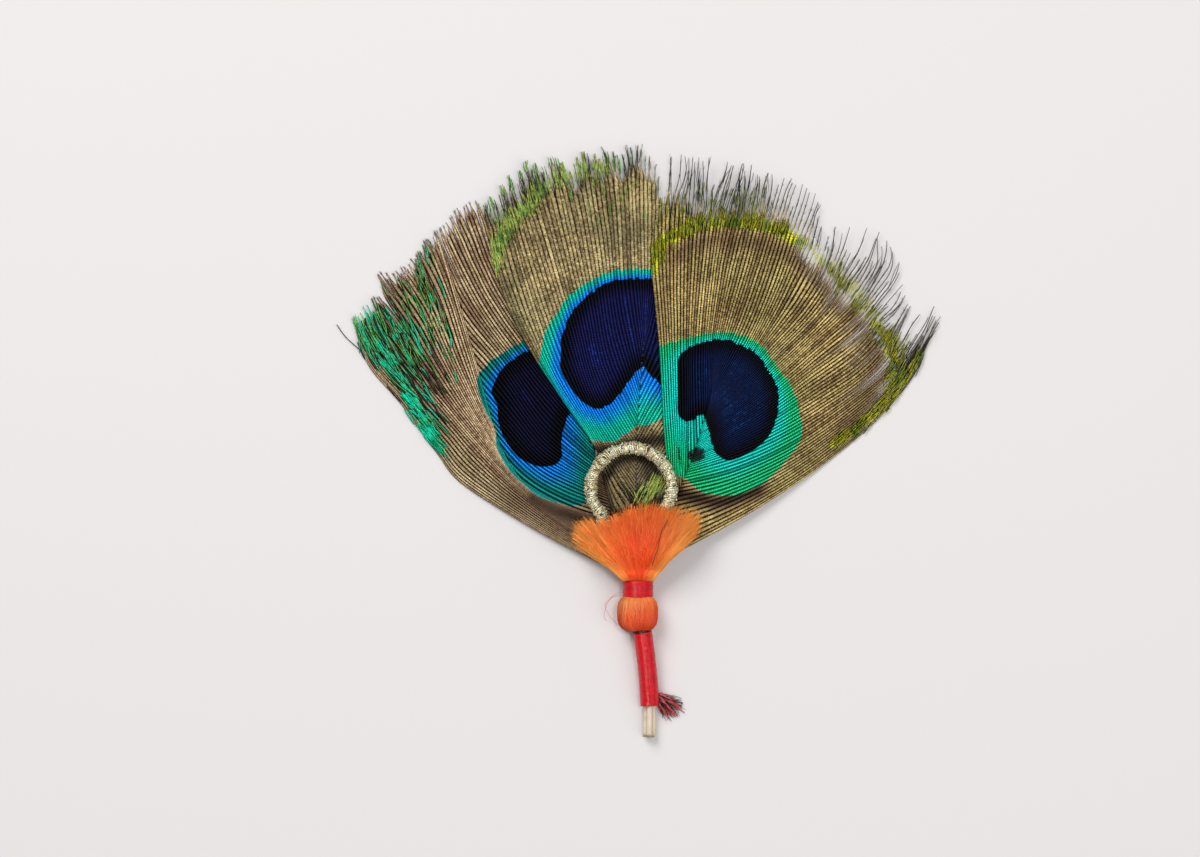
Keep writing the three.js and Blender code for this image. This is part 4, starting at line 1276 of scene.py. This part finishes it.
def thread_ends(material, rng):
    """Frayed ends of the binding threads, beside the foot of the stem."""
    count, rows = THREAD_ENDS
    aim = np.radians(rng.uniform(-78, -8, count))
    reach = rng.uniform(2.6, 5.2, count) * (1 - 0.25 * np.abs(aim + 0.75))
    share = np.linspace(0, 1, rows)
    start = ENDS_START + rng.normal(0, 0.3, (count, 2))
    along, aside = np.stack([np.cos(aim), np.sin(aim)], 1), np.stack([-np.sin(aim), np.cos(aim)], 1)
    flat = start[:, None] + along[:, None] * (reach[:, None] * share)[..., None]
    curl = rng.normal(0, 0.25, (count, 1))
    curl = curl * np.sin(share * rng.uniform(3, 7, (count, 1)) + rng.uniform(0, 6, (count, 1)))
    flat += aside[:, None] * (curl * share)[..., None]
    height = rng.uniform(0.3, 1.4, (count, 1)) * (1 - share * 0.7) + 0.15
    paths = np.concatenate([flat, height[..., None]], -1)
    widths = np.full((count, rows), END_HALF_WIDTH) * (1 - 0.5 * share)
    accent = (rng.random((count, 1)) < 0.4) * np.ones((1, rows))
    tone = rng.random((count, 1)) * np.ones((1, rows))
    ends = lay_rods("ends", rod_shape(3, rows), paths, widths, widths, tone=tone, accent=accent)
    return joined("frayed_ends", [(ends, 0)], [material])


# ---- floor, light and camera ----
VIEW_CENTRE = (-6.25, 30.6)
VIEW_WIDTH = 200.0
CAMERA_HEIGHT = 700.0
SENSOR_WIDTH = 36.0
FLOOR_SIZE = 1500.0
WORLD_STRENGTH = 0.33
LAMPS = (                    # name, place and size in metres, power in watts
    ("window", (-0.35, 0.55, 0.75), 0.5, 5.9),
    ("fill", (0.6, -0.3, 0.8), 0.8, 2.9),
    ("spark", (0.16, 0.1, 0.85), 0.12, 1.4),
)
LAMP_AIM = (0.0, 0.03, 0.0)


def stage():
    """A pale floor under the fan."""
    bm = bmesh.new()
    bmesh.ops.create_grid(bm, x_segments=8, y_segments=8, size=FLOOR_SIZE * MM)
    floor = object_from("floor", bm)
    material, _, shader = new_material("pale_floor")
    shader.inputs["Base Color"].default_value = paint(228, 224, 222)
    shader.inputs["Roughness"].default_value = 0.85
    floor.data.materials.append(material)


def lamp(name, place, size, power):
    """A square lamp that faces the fan."""
    light = bpy.data.lights.new(name, "AREA")
    light.size = size
    light.energy = power
    piece = bpy.data.objects.new(name, light)
    piece.location = place
    piece.rotation_euler = (Vector(LAMP_AIM) - Vector(place)).to_track_quat("-Z", "Y").to_euler()
    bpy.context.scene.collection.objects.link(piece)


def light_and_camera():
    """Three lamps, a cool world and a camera straight above."""
    for name, place, size, power in LAMPS:
        lamp(name, place, size, power)
    world = bpy.data.worlds.new("studio")
    world.use_nodes = True
    background = world.node_tree.nodes["Background"].inputs
    background["Color"].default_value = paint(240, 243, 248)
    background["Strength"].default_value = WORLD_STRENGTH
    bpy.context.scene.world = world
    bpy.context.scene.view_settings.view_transform = "Standard"
    lens = bpy.data.cameras.new("camera")
    lens.sensor_width = SENSOR_WIDTH
    lens.lens = SENSOR_WIDTH * CAMERA_HEIGHT / VIEW_WIDTH
    lens.clip_start = 0.01
    camera = bpy.data.objects.new("camera", lens)
    camera.location = (VIEW_CENTRE[0] * MM, VIEW_CENTRE[1] * MM, CAMERA_HEIGHT * MM)
    bpy.context.scene.collection.objects.link(camera)
    bpy.context.scene.camera = camera


# ---- colours of the three feathers ----
VANE_COLOURS = {
    "left": {
        "Bronze dark": paint(152, 114, 84), "Bronze light": paint(255, 224, 176),
        "Ring outside": paint(0, 156, 148), "Ring inside": paint(0, 148, 255),
        "Heart edge": paint(6, 6, 14), "Heart middle": paint(16, 17, 46), "Heart glint": paint(30, 38, 104),
        "Lush dark": paint(0, 240, 186), "Lush light": paint(142, 226, 100),
        "Dusk": paint(96, 66, 46), "Tip": paint(92, 66, 50), "Moss": paint(166, 162, 112),
    },
    "middle": {
        "Bronze dark": paint(114, 94, 60), "Bronze light": paint(250, 224, 160),
        "Ring outside": paint(0, 206, 174), "Ring inside": paint(0, 142, 255),
        "Heart edge": paint(6, 6, 16), "Heart middle": paint(23, 25, 78), "Heart glint": paint(40, 76, 196),
        "Lush dark": paint(140, 220, 112), "Lush light": paint(240, 252, 124),
        "Dusk": paint(60, 44, 36), "Tip": paint(66, 74, 60), "Moss": paint(122, 126, 84),
    },
    "right": {
        "Bronze dark": paint(128, 98, 54), "Bronze light": paint(255, 226, 146),
        "Ring outside": paint(0, 206, 132), "Ring inside": paint(0, 226, 208),
        "Heart edge": paint(5, 5, 16), "Heart middle": paint(7, 24, 66), "Heart glint": paint(22, 98, 178),
        "Lush dark": paint(146, 168, 54), "Lush light": paint(244, 238, 54),
        "Dusk": paint(112, 78, 58), "Tip": paint(58, 64, 54), "Moss": paint(124, 130, 72),
    },
}


FEATHER_SEEDS = (11, 12, 13)
DRESSING_SEED = 5


def main():
    barb_group, strand_group = barb_colour_group(), strand_colour_group()
    quill = strand_material("quill_horn", strand_group, paint(176, 150, 112), paint(240, 226, 200),
                            paint(34, 25, 18), 0.42, grain=900.0)
    for seed, (side, feather) in zip(FEATHER_SEEDS, FEATHERS.items(), strict=True):
        rng = np.random.default_rng(seed)
        vane_finish = vane_material(f"{side}_barbs", barb_group, VANE_COLOURS[side], feather["lines"])
        path, radius, along = shaft(side, feather)
        brown = smooth((along - 0.22) / 0.06)
        stem = lay_rods("shaft", rod_shape(12, SHAFT_STEPS), path, radius, radius, tone=along * 0 + 0.7,
                        accent=brown)
        hollow_out(stem, Vector(path[0, 0] * MM))
        parts = [(stem, 1)] + [(part, 0) for part in vane(side, feather, rng)]
        piece = joined(f"feather_{side}_barbs", parts, [vane_finish, quill])
        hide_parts(f"feather_{side}")
    rng = np.random.default_rng(DRESSING_SEED)
    # the gold's light colour is near white for painted glints; its accent is the painted shade of the core
    # and pits
    gold = strand_material("gold_bullion", strand_group, paint(200, 176, 104), paint(255, 254, 230),
                           paint(84, 72, 42), 0.2, metal=0.42)
    # the silk's accent colour is its painted light
    silk = strand_material("combed_silk", strand_group, paint(248, 40, 10), paint(255, 98, 34),
                           paint(255, 164, 72), 0.4, shine=0.3)
    # the floss's accent colour is its painted highlight
    floss = strand_material("orange_floss", strand_group, paint(206, 50, 12), paint(248, 94, 28),
                            paint(255, 190, 112), 0.4, share=0.64, shine=0.35)
    red = strand_material("red_thread", strand_group, paint(184, 6, 20), paint(230, 16, 32),
                          paint(44, 8, 10), 0.15, shine=0.5)
    frayed = strand_material("frayed_fibre", strand_group, paint(190, 30, 46), paint(236, 120, 116),
                             paint(22, 34, 26), 0.6)
    for piece, node, finish in (
        (gold_cord_loop(gold, rng), "gold_cord_loop", "gold_cord"),
        (silk_tuft(silk, quill, rng), "silk_tuft", "orange_silk"),
        (neck_band(red, rng), "neck_band", "red_band_thread"),
        (thread_ball(floss, rng), "thread_ball", "orange_thread"),
        (stem_wrap(red, rng), "stem_wrap", "red_stem_thread"),
        (thread_ends(frayed, rng), "thread_ends", "frayed_thread"),
    ):
        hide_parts(node)
    stage()
    light_and_camera()


main()
